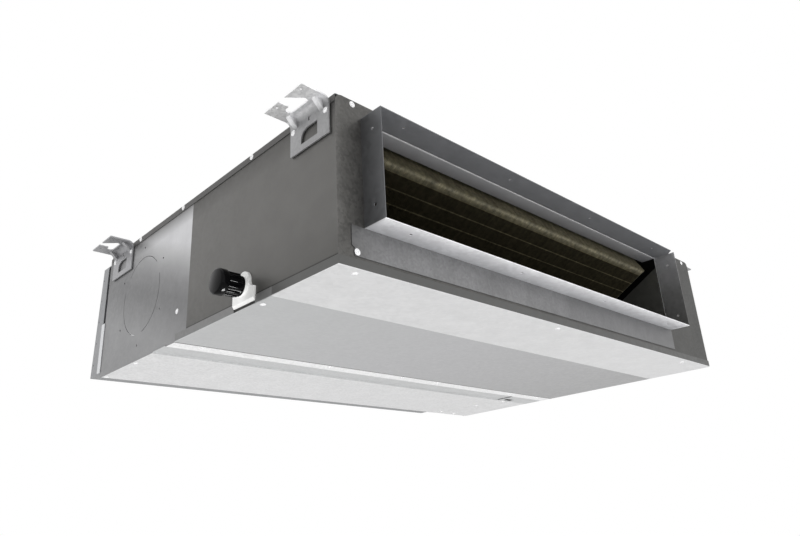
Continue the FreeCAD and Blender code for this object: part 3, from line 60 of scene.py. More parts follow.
bpy.context.scene.camera = eye
bpy.context.scene.view_settings.view_transform = "Standard"


# ---- The studio: a white sweep seen as plain white, a pale floor well below the unit,
# and soft boxes at a plain level. The lowest one lights the bottom sheets as a floor would.
def channel(value):
    """One sRGB channel, 0 to 1, as linear light."""
    return value / 12.92 if value <= 0.04045 else ((value + 0.055) / 1.055) ** 2.4


def colour(code):
    """A colour written as #rrggbb, as Blender's linear red, green, blue and alpha."""
    return (*(channel(int(code[i : i + 2], 16) / 255) for i in (1, 3, 5)), 1.0)


def add(tree, kind, inputs=None, **settings):
    """Adds a node: its own settings, and for each input socket a value or the socket it is linked to.

    Map Range takes its number at 0, from the range at 1 and 2 to the range at 3 and 4. Mix takes its
    share at 0 and its colours at 6 and 7, and gives the mixed colour at 2."""
    made = tree.nodes.new(kind)
    for name, value in settings.items():
        setattr(made, name, value)
    for socket, value in (inputs or {}).items():
        if isinstance(value, bpy.types.NodeSocket):
            tree.links.new(value, made.inputs[socket])
        else:
            made.inputs[socket].default_value = value
    return made


world = bpy.data.worlds.new("white_sweep")
bpy.context.scene.world = world
world.use_nodes = True
sky = world.node_tree
sky.nodes.clear()
ray = add(sky, "ShaderNodeLightPath").outputs
straight = add(
    sky, "ShaderNodeMath", {0: ray["Is Camera Ray"], 1: ray["Is Glossy Ray"]}, operation="MAXIMUM"
).outputs[0]
clear = add(
    sky, "ShaderNodeMath", {0: straight, 1: ray["Is Transmission Ray"]}, operation="MAXIMUM"
).outputs[0]
room = add(sky, "ShaderNodeBackground", {"Color": (1, 1, 1, 1), "Strength": 0.55}).outputs[0]
sweep = add(sky, "ShaderNodeBackground", {"Color": (1, 1, 1, 1), "Strength": 1.0}).outputs[0]
both = add(sky, "ShaderNodeMixShader", {0: clear, 1: room, 2: sweep}).outputs[0]
add(sky, "ShaderNodeOutputWorld", {"Surface": both})


def soft_box(name, place, aim, width, power, mirrored=False):
    """A square studio lamp that isn't seen itself, aimed at a point.

    A mirrored one only makes highlights."""
    lamp = bpy.data.lights.new(name, "AREA")
    lamp.size = width
    lamp.energy = power
    box = bpy.data.objects.new(name, lamp)
    way = (Vector(aim) - Vector(place)).to_track_quat("-Z", "Y")
    box.matrix_world = Matrix.Translation(place) @ way.to_matrix().to_4x4()
    box.visible_camera = False
    box.visible_glossy = mirrored
    box.visible_diffuse = not mirrored
    bpy.context.scene.collection.objects.link(box)
    return box


def link_light(box, piece, state):
    """Lets a lamp reach one piece alone, where state is INCLUDE, or all but that piece, with EXCLUDE."""
    chosen = bpy.data.collections.new(f"{box.name}_{piece.name}")
    chosen.objects.link(piece)
    chosen.collection_objects[0].light_linking.link_state = state
    box.light_linking.receiver_collection = chosen


soft_box("box_below", (-0.3, -0.3, -1.5), (-0.3, -0.3, 0.0), 4.4, 60.0)
soft_box("box_left_rear", (-2.4, 1.6, 0.7), (-0.5, 0.1, 0.1), 1.6, 26.0)
soft_box("box_front", (-0.4, -2.6, 1.0), (0.0, -0.3, 0.1), 1.6, 18.0)
low_box = soft_box("box_low_front", (-0.1, -2.8, -0.7), (0.0, -0.4, 0.15), 1.2, 26.0)
soft_box("box_above", (0.6, 0.6, 2.6), (0.0, 0.0, 0.2), 2.4, 50.0)

floor_mesh = bpy.data.meshes.new("studio_floor")
half_floor, floor_level = 6.0, -1.62
floor_mesh.from_pydata(
    [(x * half_floor, y * half_floor, floor_level) for x, y in ((-1, -1), (1, -1), (1, 1), (-1, 1))],
    [],
    [(0, 1, 2, 3)],
)
floor = bpy.data.objects.new("studio_floor", floor_mesh)
bpy.context.scene.collection.objects.link(floor)
# this lamp stands so near the floor that it would burn a white patch into it
link_light(low_box, floor, "EXCLUDE")


def finish(name, sockets):
    """A material with one principled shader, and the object coordinates its patterns read."""
    made = bpy.data.materials.new(name)
    made.use_nodes = True
    tree = made.node_tree
    tree.nodes.clear()
    shader = add(tree, "ShaderNodeBsdfPrincipled")
    add(tree, "ShaderNodeOutputMaterial", {"Surface": shader.outputs[0]})
    for socket, value in sockets.items():
        shader.inputs[socket].default_value = value
    place = add(tree, "ShaderNodeTexCoord").outputs["Object"]
    return made, tree, shader, place


def grain(tree, place, size, low, high, detail=2.0, stretch=None):
    """A soft noise with lumps of that size in millimetres, as a number between low and high."""
    if stretch:
        place = add(tree, "ShaderNodeMapping", {"Vector": place, "Scale": stretch}).outputs[0]
    noise = add(tree, "ShaderNodeTexNoise", {"Vector": place, "Scale": 1000.0 / size, "Detail": detail})
    return add(
        tree, "ShaderNodeMapRange", {"Value": noise.outputs[0], 1: 0.3, 2: 0.7, 3: low, 4: high}
    ).outputs[0]


def times(tree, shade, *factors):
    """A colour, or a colour socket, multiplied by each number socket in turn."""
    for factor in factors:
        scaled = add(tree, "ShaderNodeVectorMath", {"Scale": factor}, operation="SCALE")
        if isinstance(shade, bpy.types.NodeSocket):
            tree.links.new(shade, scaled.inputs[0])
        else:
            scaled.inputs[0].default_value = shade[:3]
        shade = scaled.outputs[0]
    return shade


def speckled(name, shade, lump, low, high, **sockets):
    """A material of one colour, with soft lumps of that size in millimetres between low and high."""
    made, tree, shader, place = finish(name, sockets)
    varied = times(tree, colour(shade), grain(tree, place, lump, low, high))
    tree.links.new(varied, shader.inputs["Base Color"])
    return made


def dress(material, *names):
    """Gives CAD pieces a material in place of the plain one they were packed with."""
    for name in names:
        for held in nodes[name].material_slots:
            held.material = material


# matt floor paint: almost white, so it gives a soft bounce and takes a faint shadow
floor_paint = speckled("matt_white_floor_paint", "#efefee", 220.0, 0.99, 1.0, Roughness=0.9)
floor_mesh.materials.append(floor_paint)


# ---- Casing sheets: hot-dip galvanised steel, sheared, pierced and folded, and screwed into a box.
# The zinc froze in a spangle of 3.5 to 7 mm crystals, each a little lighter or darker than the next.
# Soft pools of light and shade from the room are painted into the sheets' colours, one tone per sheet.
along_x, along_y, upwards = (1.0, 0.0, 0.0), (0.0, 1.0, 0.0), (0.0, 0.0, 1.0)
leftwards = (-1.0, 0.0, 0.0)


def shade_along(tree, place, way, stops):
    """A colour that changes along a direction. stops gives the shade at each distance in metres."""
    start, end = min(stops), max(stops)
    along = add(
        tree, "ShaderNodeVectorMath", {0: place, 1: way}, operation="DOT_PRODUCT"
    ).outputs["Value"]
    share = add(tree, "ShaderNodeMapRange", {0: along, 1: start, 2: end}).outputs[0]
    ramp = add(tree, "ShaderNodeValToRGB", {0: share})
    marks = ramp.color_ramp.elements
    while len(marks) < len(stops):
        marks.new(0.5)
    for mark, (distance, code) in zip(marks, sorted(stops.items())):
        mark.position = (distance - start) / (end - start)
        mark.color = colour(code)
    return ramp.outputs[0]


def galvanised(name, shade, crystal=7.0, contrast=0.1, mottle=0.05, metal=0.75, painted_band=None, drawn=0.0):
    """Galvanised sheet. shade is a colour, or a direction and the colour at each distance along it.

    crystal is the size of the spangle in millimetres and contrast its depth, mottle the depth of wide
    clouds, and drawn that of upright streaks. painted_band is a direction, the distances along it where
    a band of painted shade or painted highlight along an edge begins and is full, and the colour of that
    band."""
    made, tree, shader, place = finish(name, {"Metallic": metal})
    cells = add(tree, "ShaderNodeTexVoronoi", {"Vector": place, "Scale": 1000.0 / crystal})
    one = add(tree, "ShaderNodeSeparateColor", {0: cells.outputs["Color"]}).outputs[0]
    factors = [
        add(tree, "ShaderNodeMapRange", {0: one, 3: 1.0 - contrast, 4: 1.0 + contrast}).outputs[0],
        grain(tree, place, 45.0, 1.0 - mottle, 1.0 + mottle, detail=5.0),
    ]
    if drawn:
        factors.append(grain(tree, place, 3.0, 1.0 - drawn, 1.0 + drawn, stretch=(1.0, 1.0, 0.05)))
    base = colour(shade) if isinstance(shade, str) else shade_along(tree, place, *shade)
    if painted_band:
        way, start, full, edge = painted_band
        along = add(
            tree, "ShaderNodeVectorMath", {0: place, 1: way}, operation="DOT_PRODUCT"
        ).outputs["Value"]
        band_share = add(tree, "ShaderNodeMapRange", {0: along, 1: start, 2: full}).outputs[0]
        band_mix = {0: band_share, 6: base, 7: colour(edge)}
        base = add(tree, "ShaderNodeMix", band_mix, data_type="RGBA").outputs[2]
    tree.links.new(times(tree, base, *factors), shader.inputs["Base Color"])
    matt = add(tree, "ShaderNodeMapRange", {0: one, 3: 0.36, 4: 0.5}).outputs[0]
    tree.links.new(matt, shader.inputs["Roughness"])
    rough = grain(tree, place, 1.6, 0.0, 1.0)
    bump = add(tree, "ShaderNodeBump", {"Height": rough, "Distance": 0.03 / 1000.0, "Strength": 0.4})
    tree.links.new(bump.outputs[0], shader.inputs["Normal"])
    return made


# left side: dull grey with painted shade: a dark joint line above the bottom sheet's rim, deepened as
# painted contact shadow, a little darker towards the bottom, and a painted shadow darkening the top
side_painted_shade = (
    upwards,
    {
        0.0147: "#2b2a29", 0.0158: "#2b2a29", 0.018: "#5d5c5a", 0.07: "#656462",
        0.13: "#686765", 0.215: "#686765", 0.262: "#4c4b49",
    },
)
dress(galvanised("zinc_left_side", side_painted_shade, contrast=0.06), "left_side_panel")
# left rear: painted brighter, with a painted band of shade that leans across the knock-out and a painted
# shadow under the top edge
leaning_shade = (
    (0.0, -0.39, 1.0),
    {
        -0.1: "#8c8c8d", -0.035: "#8e8e8f", 0.0: "#838384", 0.03: "#787879", 0.055: "#757576",
        0.085: "#818182", 0.115: "#9a9a9b", 0.145: "#b8b8b9", 0.165: "#c8c8ca",
    },
)
shadow_under_top_edge = (upwards, 0.224, 0.262, "#5f5e5d")
dress(galvanised("zinc_left_rear", leaning_shade, contrast=0.04, painted_band=shadow_under_top_edge), "left_rear_panel")
# front and its lower strip: dull, with a fine spangle that shows as specks, and painted shade: the front
# darker towards the right, the strip darkest at its left end
front_painted_shade = (along_x, {-0.57: "#666563", -0.556: "#5c5b59", 0.3: "#504f4d", 0.57: "#444442"})
dress(galvanised("zinc_front", front_painted_shade, crystal=4.0, contrast=0.16, mottle=0.12), "front_panel")
strip_painted_shade = (along_x, {-0.56: "#5a5a5a", -0.49: "#7c7c7d", 0.4: "#6c6c6d"})
dress(
    galvanised(
        "zinc_front_strip", strip_painted_shade, crystal=3.5, contrast=0.12, mottle=0.1, metal=0.55, drawn=0.04
    ),
    "lower_front_strip",
)
# underside: three bright sheets with painted light across them, and upright rims painted darker than
# their faces as shade on the sides
rim_start, rim_full = 0.0013, 0.0014
dress(
    galvanised(
        "zinc_bottom_front", "#dededf", contrast=0.04, mottle=0.03,
        painted_band=(upwards, rim_start, rim_full, "#5f5f5e"),
    ),
    "bottom_front_panel",
)
middle_painted_light = (along_x, {-0.57: "#c1c2c3", -0.1: "#bbbbbd", 0.57: "#a9a9aa"})
dress(
    galvanised(
        "zinc_bottom_middle", middle_painted_light, contrast=0.01, mottle=0.015,
        painted_band=(upwards, rim_start, rim_full, "#7d7d7d"),
    ),
    "drain_pan_cover",
)
# a dark joint line, then bands of painted light and shade across the pressed swage
swage_painted_light = (
    along_y,
    {
        0.066: "#2c2c2c", 0.068: "#2c2c2c", 0.0686: "#f6f6f7", 0.099: "#f6f6f7",
        0.103: "#cbcccd", 0.157: "#cbcccd", 0.158: "#e1e1e2", 0.39: "#e1e1e2",
    },
)
dress(
    galvanised(
        "zinc_bottom_rear", swage_painted_light, crystal=4.0, contrast=0.08, mottle=0.03,
        painted_band=(leftwards, 0.5686, 0.5687, "#8f8f90"),
    ),
    "fan_access_panel", "bottom_right_strip",
)
# top, back and right side: plain mid grey, and the top's folded left edge is painted darker as shade
top_edge_painted_shade = (along_x, {-0.5695: "#555453", -0.5685: "#8b8c8e"})
dress(galvanised("zinc_top", top_edge_painted_shade), "top_panel")
dress(galvanised("zinc_back", "#8b8c8e"), "rear_panel")
dress(galvanised("zinc_right_side", "#777778", contrast=0.07), "right_side_panel", "pipe_plate")
dress(galvanised("zinc_right_rear", "#8d8d8e", contrast=0.07), "right_rear_panel")

# ---- Outlet collar and inlet collar: folded strips of the same sheet round each mouth.
# Ducts slide over them. Painted highlights brighten their folds and edges, and painted shade darkens the
# right flange towards its foot.
dress(galvanised("zinc_collar_top", "#7b7c7f", contrast=0.06, metal=0.35), "outlet_flange_top")
guide_low, guide_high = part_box("outlet_guide_plate")
fold_painted_highlight = (
    along_y,
    {
        guide_low.y: "#f4f4f6", guide_low.y + 0.0016: "#f4f4f6",
        guide_low.y + 0.0026: "#a2a2a5", guide_high.y: "#77777a",
    },
)
dress(galvanised("zinc_collar_guide", fold_painted_highlight, contrast=0.04, metal=0.35), "outlet_guide_plate")
dress(galvanised("zinc_collar_left", "#6c6d6f", contrast=0.06), "outlet_flange_left")
shaded_foot = (upwards, {0.06: "#5e5e5c", 0.15: "#747474", 0.242: "#a6a6a8"})
dress(galvanised("zinc_collar_right", shaded_foot, contrast=0.06, metal=0.5), "outlet_flange_right")
rim_painted_highlight = (along_y, {-0.433: "#f4f4f6", -0.415: "#d8d8db", -0.388: "#bbbcbf"})
dress(galvanised("zinc_collar_bottom", rim_painted_highlight, contrast=0.06, metal=0.5), "outlet_flange_bottom")
dress(
    galvanised("zinc_inlet_collar", "#939496", contrast=0.06),
    "inlet_flange_top", "inlet_flange_bottom", "inlet_flange_left", "inlet_flange_right",
    "filter_guides",
)

# ---- Hanger brackets: 2 mm galvanised steel, pressed with gussets and an open slot for a rod.
# Each is held to the side by two screws near the top. The flange is painted lighter than the leg as
# painted light, and the rear pair is painted darker as shade.
front_bracket_painted_light = (leftwards, {0.5728: "#989899", 0.581: "#e6e6e8", 0.6: "#fafafb"})
dress(
    galvanised("zinc_hanger", front_bracket_painted_light, crystal=4.0, metal=0.66),
    "hanger_bracket_front_left", "hanger_bracket_front_right",
)
rear_bracket_painted_shade = (leftwards, {0.5728: "#a0a0a2", 0.59: "#acacae"})
dress(
    galvanised("zinc_hanger_rear", rear_bracket_painted_shade, crystal=4.0),
    "hanger_bracket_rear_left", "hanger_bracket_rear_right",
)

# ---- Coil: aluminium fins pressed on copper tubes, leaning back over the drain pan.
# The fins have a thin gold-tinted coating that lets water run off. A pale band of painted light lies
# across the top of the face, above the first row of tubes, with painted shade below it, and each row
# below it shows as a thin line.
lean = math.radians(29.4)
coil_corner = (0.0, -0.366, 0.213)
fin_gap, fin_sheet = 3.0e-3, 0.3e-3
slab_low, slab_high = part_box("coil_fins")
slab_span = slab_high.x - slab_low.x
slab_face, slab_depth, slab_inset = 0.3048, 0.044, 0.003
coil_place = Matrix.Translation(coil_corner) @ Matrix.Rotation(-lean, 4, "X")
painted_light_depth, first_line, row_pitch = 0.019, 0.0195, 0.0276
line_core, line_edge = 0.0006, 0.0012
edge_highlight_width, edge_highlight_blend = 0.0085, 0.0005

# coated aluminium: dull gold in the light, nearly black further down, where little light comes in
gold, tree, shader, place = finish("gold_coated_aluminium_fins", {"Metallic": 0.6, "Roughness": 0.45})
upright = add(
    tree,
    "ShaderNodeVectorRotate",
    {"Vector": place, "Center": coil_corner, "Axis": along_x, "Angle": lean},
).outputs[0]
down_face = add(tree, "ShaderNodeSeparateXYZ", {0: upright}).outputs["Y"]
depth_down = add(tree, "ShaderNodeMath", {0: down_face, 1: -coil_corner[1]}, operation="ADD").outputs[0]
below_painted_light = add(tree, "ShaderNodeMapRange", {0: depth_down, 1: painted_light_depth, 2: first_line}).outputs[0]
in_row = add(tree, "ShaderNodeMath", {0: depth_down, 1: row_pitch}, operation="MODULO").outputs[0]
past_line = add(tree, "ShaderNodeMath", {0: in_row, 1: first_line}, operation="SUBTRACT").outputs[0]
off_line = add(tree, "ShaderNodeMath", {0: past_line}, operation="ABSOLUTE").outputs[0]
line = add(
    tree, "ShaderNodeMapRange", {0: off_line, 1: line_core, 2: line_edge, 3: 1.0, 4: 0.0}
).outputs[0]
# painted light: a pale band across the top of the face, with painted shade, nearly black, below it
painted_light_shades = {0.0: "#6d6a5a", 0.004: "#a39d86", 0.0085: "#e0dbc6", 0.013: "#b7b199", 0.019: "#98927c"}
painted_light_band = shade_along(
    tree, upright, along_y, {coil_corner[1] + depth: code for depth, code in painted_light_shades.items()}
)
face = add(
    tree, "ShaderNodeMix", {0: below_painted_light, 6: painted_light_band, 7: colour("#544f3e")}, data_type="RGBA"
).outputs[2]
lined = add(tree, "ShaderNodeMix", {0: line, 6: face, 7: colour("#a39c7e")}, data_type="RGBA").outputs[2]
across = add(tree, "ShaderNodeSeparateXYZ", {0: place}).outputs["X"]
# painted highlight: the last fins at the coil's right end are lighter, as a light line along its edge
edge_highlight_from = slab_high.x - edge_highlight_width
edge_highlight = add(tree, "ShaderNodeMapRange", {0: across, 1: edge_highlight_from, 2: edge_highlight_from + edge_highlight_blend}).outputs[0]
edge_highlighted = add(
    tree, "ShaderNodeMix", {0: edge_highlight, 6: lined, 7: colour("#a3a397")}, data_type="RGBA"
).outputs[2]
specks = grain(tree, place, 7.0, 0.7, 1.35, detail=5.0)
sideways_streaks = grain(tree, place, 9.5, 0.82, 1.18, stretch=(1.0, 0.1, 0.1))
tree.links.new(times(tree, edge_highlighted, specks, sideways_streaks), shader.inputs["Base Color"])


def new_object(name, mesh, material=None):
    """Puts a mesh in the scene at the origin."""
    made = bpy.data.objects.new(name, mesh)
    if material:
        mesh.materials.append(material)
    bpy.context.scene.collection.objects.link(made)
    return made


def new_tree(name, **inputs):
    """An empty geometry tree with named number inputs, and its input and output nodes."""
    tree = bpy.data.node_groups.new(name, "GeometryNodeTree")
    face = tree.interface
    face.new_socket("Geometry", in_out="INPUT", socket_type="NodeSocketGeometry")
    for label, value in inputs.items():
        kind = "NodeSocketInt" if isinstance(value, int) else "NodeSocketFloat"
        face.new_socket(label, in_out="INPUT", socket_type=kind).default_value = value
    face.new_socket("Geometry", in_out="OUTPUT", socket_type="NodeSocketGeometry")
    return tree, add(tree, "NodeGroupInput").outputs, add(tree, "NodeGroupOutput")


def end_tree(tree, last, geometry, material):
    """Turns a tree's instances into real faces with their material."""
    real = add(tree, "GeometryNodeRealizeInstances", {0: geometry}).outputs[0]
    painted = add(tree, "GeometryNodeSetMaterial", {0: real, "Material": material}).outputs[0]
    tree.links.new(painted, last.inputs[0])


def grown(name, tree, mesh, **inputs):
    """Runs a geometry tree on a mesh and keeps the result as a plain mesh at the origin."""
    carrier = new_object(name, mesh)
    modifier = carrier.modifiers.new(tree.name, "NODES")
    modifier.node_group = tree
    sockets = {s.name: s.identifier for s in tree.interface.items_tree if s.in_out == "INPUT"}
    for label, value in inputs.items():
        modifier[sockets[label]] = value
    seen = carrier.evaluated_get(bpy.context.evaluated_depsgraph_get())
    plain = bpy.data.meshes.new_from_object(seen)
    carrier.modifiers.clear()
    carrier.data = plain
    plain.name = name
    return carrier


tree, given, last = new_tree("fin_stack", Span=1.0, Gap=0.003, Sheet=0.0003, Face=0.3, Depth=0.04)
count = add(tree, "ShaderNodeMath", {0: given["Span"], 1: given["Gap"]}, operation="DIVIDE").outputs[0]
size = add(
    tree, "ShaderNodeCombineXYZ", {0: given["Sheet"], 1: given["Face"], 2: given["Depth"]}
).outputs[0]
fin = add(tree, "GeometryNodeMeshCube", {"Size": size}).outputs[0]
step = add(tree, "ShaderNodeCombineXYZ", {0: given["Gap"]}).outputs[0]
row = add(tree, "GeometryNodeMeshLine", {"Count": count, "Offset": step}).outputs[0]
stack = add(tree, "GeometryNodeInstanceOnPoints", {"Points": row, "Instance": fin}).outputs[0]
end_tree(tree, last, stack, gold)
fins = grown(
    "coil_fin_stack", tree, bpy.data.meshes.new("seed"),
    Span=slab_span - fin_gap, Gap=fin_gap, Sheet=fin_sheet, Face=slab_face, Depth=slab_depth,
)
centred = Matrix.Translation(
    (slab_low.x + fin_sheet, slab_inset + slab_face / 2, slab_inset + slab_depth / 2)
)
fins.data.transform(coil_place @ centred)
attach(fins, "casing")
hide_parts("coil_fins")

# copper tube: drawn and annealed, dulled in patches by brazing
copper = speckled("annealed_copper_tube", "#b87a56", 14.0, 0.8, 1.1, Metallic=1.0, Roughness=0.32)
dress(copper, "coil_return_bends", "coil_header", "gas_pipe", "liquid_pipe")
# end plates: the left one plain, the right one darker with painted shade, black in a band beside the
# fins, and a painted highlight on its front edge
dress(galvanised("zinc_coil_plate_left", "#8e8e8a", contrast=0.05), "coil_end_plate_left")
painted_shade_beside_coil = ((0.0, -0.491, -0.871), {-0.0058: "#0b0b0a", -0.003: "#0b0b0a", -0.001: "#656561"})
plate_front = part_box("coil_end_plate_right")[0].y
painted_highlight_edge = ((0.0, -1.0, 0.0), -plate_front - 0.0019, -plate_front - 0.0017, "#f2f2f2")
dress(
    galvanised("zinc_coil_plate_right", painted_shade_beside_coil, contrast=0.05, painted_band=painted_highlight_edge),
    "coil_end_plate_right",
)

# ---- Drain pan, its spout and the rubber cap on it.
# The pan is foam with a film liner, and the spout a white moulding whose plate lies on the left side.
# The cap is pushed on the spout. Ribs round its barrel give a grip.
# film-lined foam: dark and flat, with the foam's beads just showing; its near black is painted shade, as
# inside the casing
pan_foam = speckled("black_lined_foam_pan", "#2c2c2b", 4.0, 0.85, 1.15, Roughness=0.7)
dress(pan_foam, "drain_pan")
# moulded white plastic: even, with soft edges to its light
white = speckled("white_moulded_plastic", "#f2f2f1", 12.0, 0.97, 1.0, Roughness=0.4)
dress(white, "drain_outlet")
# black rubber: nearly no colour, and sharp highlights on its polished ribs
gloss = speckled("glossy_black_rubber_cap", "#070708", 8.0, 0.8, 1.2, Roughness=0.12, IOR=1.2)
plug_low, plug_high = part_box("drain_plug")
plug_axis = (plug_low + plug_high) / 2
plug_radius = (plug_high.y - plug_low.y) / 2
head_length = 0.0146
barrel, bore = 0.0164, 0.0133
ribs, rib_top, rib_half = 12, 0.0191, 0.0021
rib_profile = ((-1.0, 0.0), (-0.8, 0.72), (-0.4, 0.96), (0.0, 1.0), (0.4, 0.96), (0.8, 0.72), (1.0, 0.0))


def cap_mesh():
    """The cap: a rounded head, a ribbed barrel behind it, and the bore that the spout fills."""
    bends = []
    for rib in range(ribs):
        middle = 2 * math.pi * rib / ribs
        half = rib_half / barrel
        bends.extend((middle + share * half, height) for share, height in rib_profile)
        bends.append((middle + math.pi / ribs, 0.0))
    grip = plug_low.x + head_length
    profile = (
        (plug_low.x, plug_radius - 0.0032, 0.0),
        (plug_low.x + 0.0009, plug_radius - 0.0011, 0.0),
        (plug_low.x + 0.003, plug_radius, 0.0),
        (grip - 0.0014, plug_radius, 0.0),
        (grip - 0.0002, plug_radius - 0.0008, 0.0),
        (grip, rib_top, 0.0),
        (grip, barrel, 1.0),
        (plug_high.x - 0.006, barrel, 1.0),
        (plug_high.x - 0.0045, barrel, 0.8),
        (plug_high.x - 0.004, barrel, 0.0),
        (plug_high.x, barrel, 0.0),
        (plug_high.x, bore, 0.0),
        (plug_low.x + 0.0031, bore, 0.0),
    )
    points, faces, count = [], [], len(bends)
    for along, radius, share in profile:
        for angle, height in bends:
            r = radius + (rib_top - radius) * share * height
            points.append((along, plug_axis.y + r * math.cos(angle), plug_axis.z + r * math.sin(angle)))
    for ring in range(len(profile) - 1):
        for k in range(count):
            a, b = ring * count + k, ring * count + (k + 1) % count
            faces.append((a, a + count, b + count, b))
    faces.append(tuple(range(count)))
    faces.append(tuple(reversed(range((len(profile) - 1) * count, len(profile) * count))))
    mesh = bpy.data.meshes.new("ribbed_cap")
    mesh.from_pydata(points, [], faces)
    mesh.shade_smooth()
    mesh.set_sharp_from_angle(angle=math.radians(50.0))
    return mesh


cap = new_object("drain_cap", cap_mesh(), gloss)
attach(cap, "drain_plug")
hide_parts("drain_plug")
# a lamp of its own gives the ribs their short white highlights
gloss_box = soft_box(
    "box_for_gloss", (-0.09, -0.26, -0.94), (-0.6, -0.16, 0.03), 0.4, 24.0, mirrored=True
)
link_light(gloss_box, cap, "INCLUDE")

# ---- Flare nuts: forged and turned brass, on the ends of the two copper pipes.
# The unit is joined to its line set there.
# turned brass: warm and bright, with faint tool marks
brass = speckled("turned_brass", "#c9a75a", 5.0, 0.9, 1.08, Metallic=1.0, Roughness=0.25)
dress(brass, "gas_flare_nut", "liquid_flare_nut")

# ---- Fan deck, blower scrolls, wheels and motor: what the air inlet shows from behind.
# Two moulded scrolls hang on the deck, and a motor on its plate turns both wheels by one shaft.
dress(galvanised("zinc_deck", "#808184"), "fan_deck", "motor_plate")
# moulded ABS: pale grey and half matt
scroll = speckled("grey_abs_scroll", "#c9cac8", 10.0, 0.96, 1.02, Roughness=0.5)
dress(scroll, "blower_scroll_left", "blower_scroll_right")
# moulded nylon: black, with a soft sheen on the vanes
dark = speckled("black_nylon", "#26272a", 3.0, 0.9, 1.1, Roughness=0.48)
dress(dark, "blower_wheel_left", "blower_wheel_right")
# sprayed enamel: dark grey, and a little glossier than the plastics
enamel = speckled("grey_motor_enamel", "#4a4c50", 6.0, 0.94, 1.04, Roughness=0.35)
dress(enamel, "fan_motor")
# ground steel: bright, with fine grinding marks
steel = speckled("ground_steel", "#b9bbbd", 2.0, 0.92, 1.05, Metallic=1.0, Roughness=0.24)
dress(steel, "fan_shaft", "motor_rotor", "motor_bearings", "motor_straps")

# ---- Control box: galvanised tray with its lid, a circuit board, a terminal block and a capacitor.
# It is screwed inside the right end, beside the fans.
dress(galvanised("zinc_control_box", "#a3a4a6", contrast=0.05), "control_box", "control_cover")
# solder mask: deep green, clouded where copper lies under it
resin = speckled("green_solder_mask", "#1f5a37", 6.0, 0.8, 1.15, Roughness=0.35)
dress(resin, "control_board")
dress(dark, "terminal_block")
dress(white, "run_capacitor")

# ---- Air filter: a moulded frame with a nylon net in its three bays, drawn out by its pull plate.
# The frame is black, and its pull plate outside the casing is bare zinc sheet.
plate_edge = (along_x, {-0.5665: "#c9cacc", -0.5655: "#26272a"})
frame_black, tree, shader, place = finish("black_frame_and_bright_pull_plate", {"Roughness": 0.48})
frame_shades = times(tree, shade_along(tree, place, *plate_edge), grain(tree, place, 3.0, 0.9, 1.1))
tree.links.new(frame_shades, shader.inputs["Base Color"])
dress(frame_black, "filter_frame")
# nylon thread: grey, woven so open that the fans show through. The 3 mm mesh is drawn coarser than
# the real one of about 1 mm, which would be too fine to show.
nylon = speckled("grey_nylon_net", "#4a4d53", 5.0, 0.85, 1.1, Roughness=0.6)
mesh_pitch, thread = 0.003, 0.0006


def islands(node):
    """The corner points of each separate solid of a CAD node."""
    work = bmesh.new()
    work.from_mesh(nodes[node].data)
    bmesh.ops.remove_doubles(work, verts=work.verts, dist=1e-5)
    left, found = set(work.verts), []
    while left:
        reach, group = [left.pop()], []
        while reach:
            vert = reach.pop()
            group.append(vert.co.copy())
            for edge in vert.link_edges:
                other = edge.other_vert(vert)
                if other in left:
                    left.remove(other)
                    reach.append(other)
        found.append(group)
    work.free()
    return found


tree, given, last = new_tree("net", Width=0.3, Height=0.2, Pitch=mesh_pitch, Wire=thread)


def strands(length, across, along_size, step_way, shift):
    """One layer of parallel strands, centred on the bay."""
    count = add(tree, "ShaderNodeMath", {0: across, 1: given["Pitch"]}, operation="DIVIDE").outputs[0]
    whole = add(tree, "ShaderNodeMath", {0: count}, operation="FLOOR").outputs[0]
    half = add(tree, "ShaderNodeMath", {0: across, 1: -0.5}, operation="MULTIPLY").outputs[0]
    gap = add(tree, "ShaderNodeMath", {0: across, 1: whole}, operation="DIVIDE").outputs[0]
    off = add(tree, "ShaderNodeMath", {0: given["Wire"], 1: shift}, operation="MULTIPLY").outputs[0]
    start = add(tree, "ShaderNodeCombineXYZ", {step_way: half, 1: off}).outputs[0]
    step = add(tree, "ShaderNodeCombineXYZ", {step_way: gap}).outputs[0]
    row = add(
        tree, "GeometryNodeMeshLine", {"Count": whole, "Start Location": start, "Offset": step}
    ).outputs[0]
    thick = {0: given["Wire"], 1: given["Wire"], 2: given["Wire"], along_size: length}
    size = add(tree, "ShaderNodeCombineXYZ", thick).outputs[0]
    strand = add(tree, "GeometryNodeMeshCube", {"Size": size}).outputs[0]
    return add(tree, "GeometryNodeInstanceOnPoints", {"Points": row, "Instance": strand}).outputs[0]


warp = strands(given["Height"], given["Width"], 2, 0, 0.45)
weft = strands(given["Width"], given["Height"], 0, 2, -0.45)
layers = add(tree, "GeometryNodeJoinGeometry")
tree.links.new(warp, layers.inputs[0])
tree.links.new(weft, layers.inputs[0])
in_each_bay = add(
    tree, "GeometryNodeInstanceOnPoints", {"Points": given["Geometry"], "Instance": layers.outputs[0]}
).outputs[0]
end_tree(tree, last, in_each_bay, nylon)
bays = islands("filter_mesh")
lows = [Vector([min(p[i] for p in bay) for i in range(3)]) for bay in bays]
highs = [Vector([max(p[i] for p in bay) for i in range(3)]) for bay in bays]
centres = bpy.data.meshes.new("net_centres")
centres.from_pydata([tuple((low + high) / 2) for low, high in zip(lows, highs)], [], [])
net = grown(
    "filter_net", tree, centres,
    Width=highs[0].x - lows[0].x, Height=highs[0].z - lows[0].z, Pitch=mesh_pitch, Wire=thread,
)
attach(net, "air_filter")
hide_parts("filter_mesh")

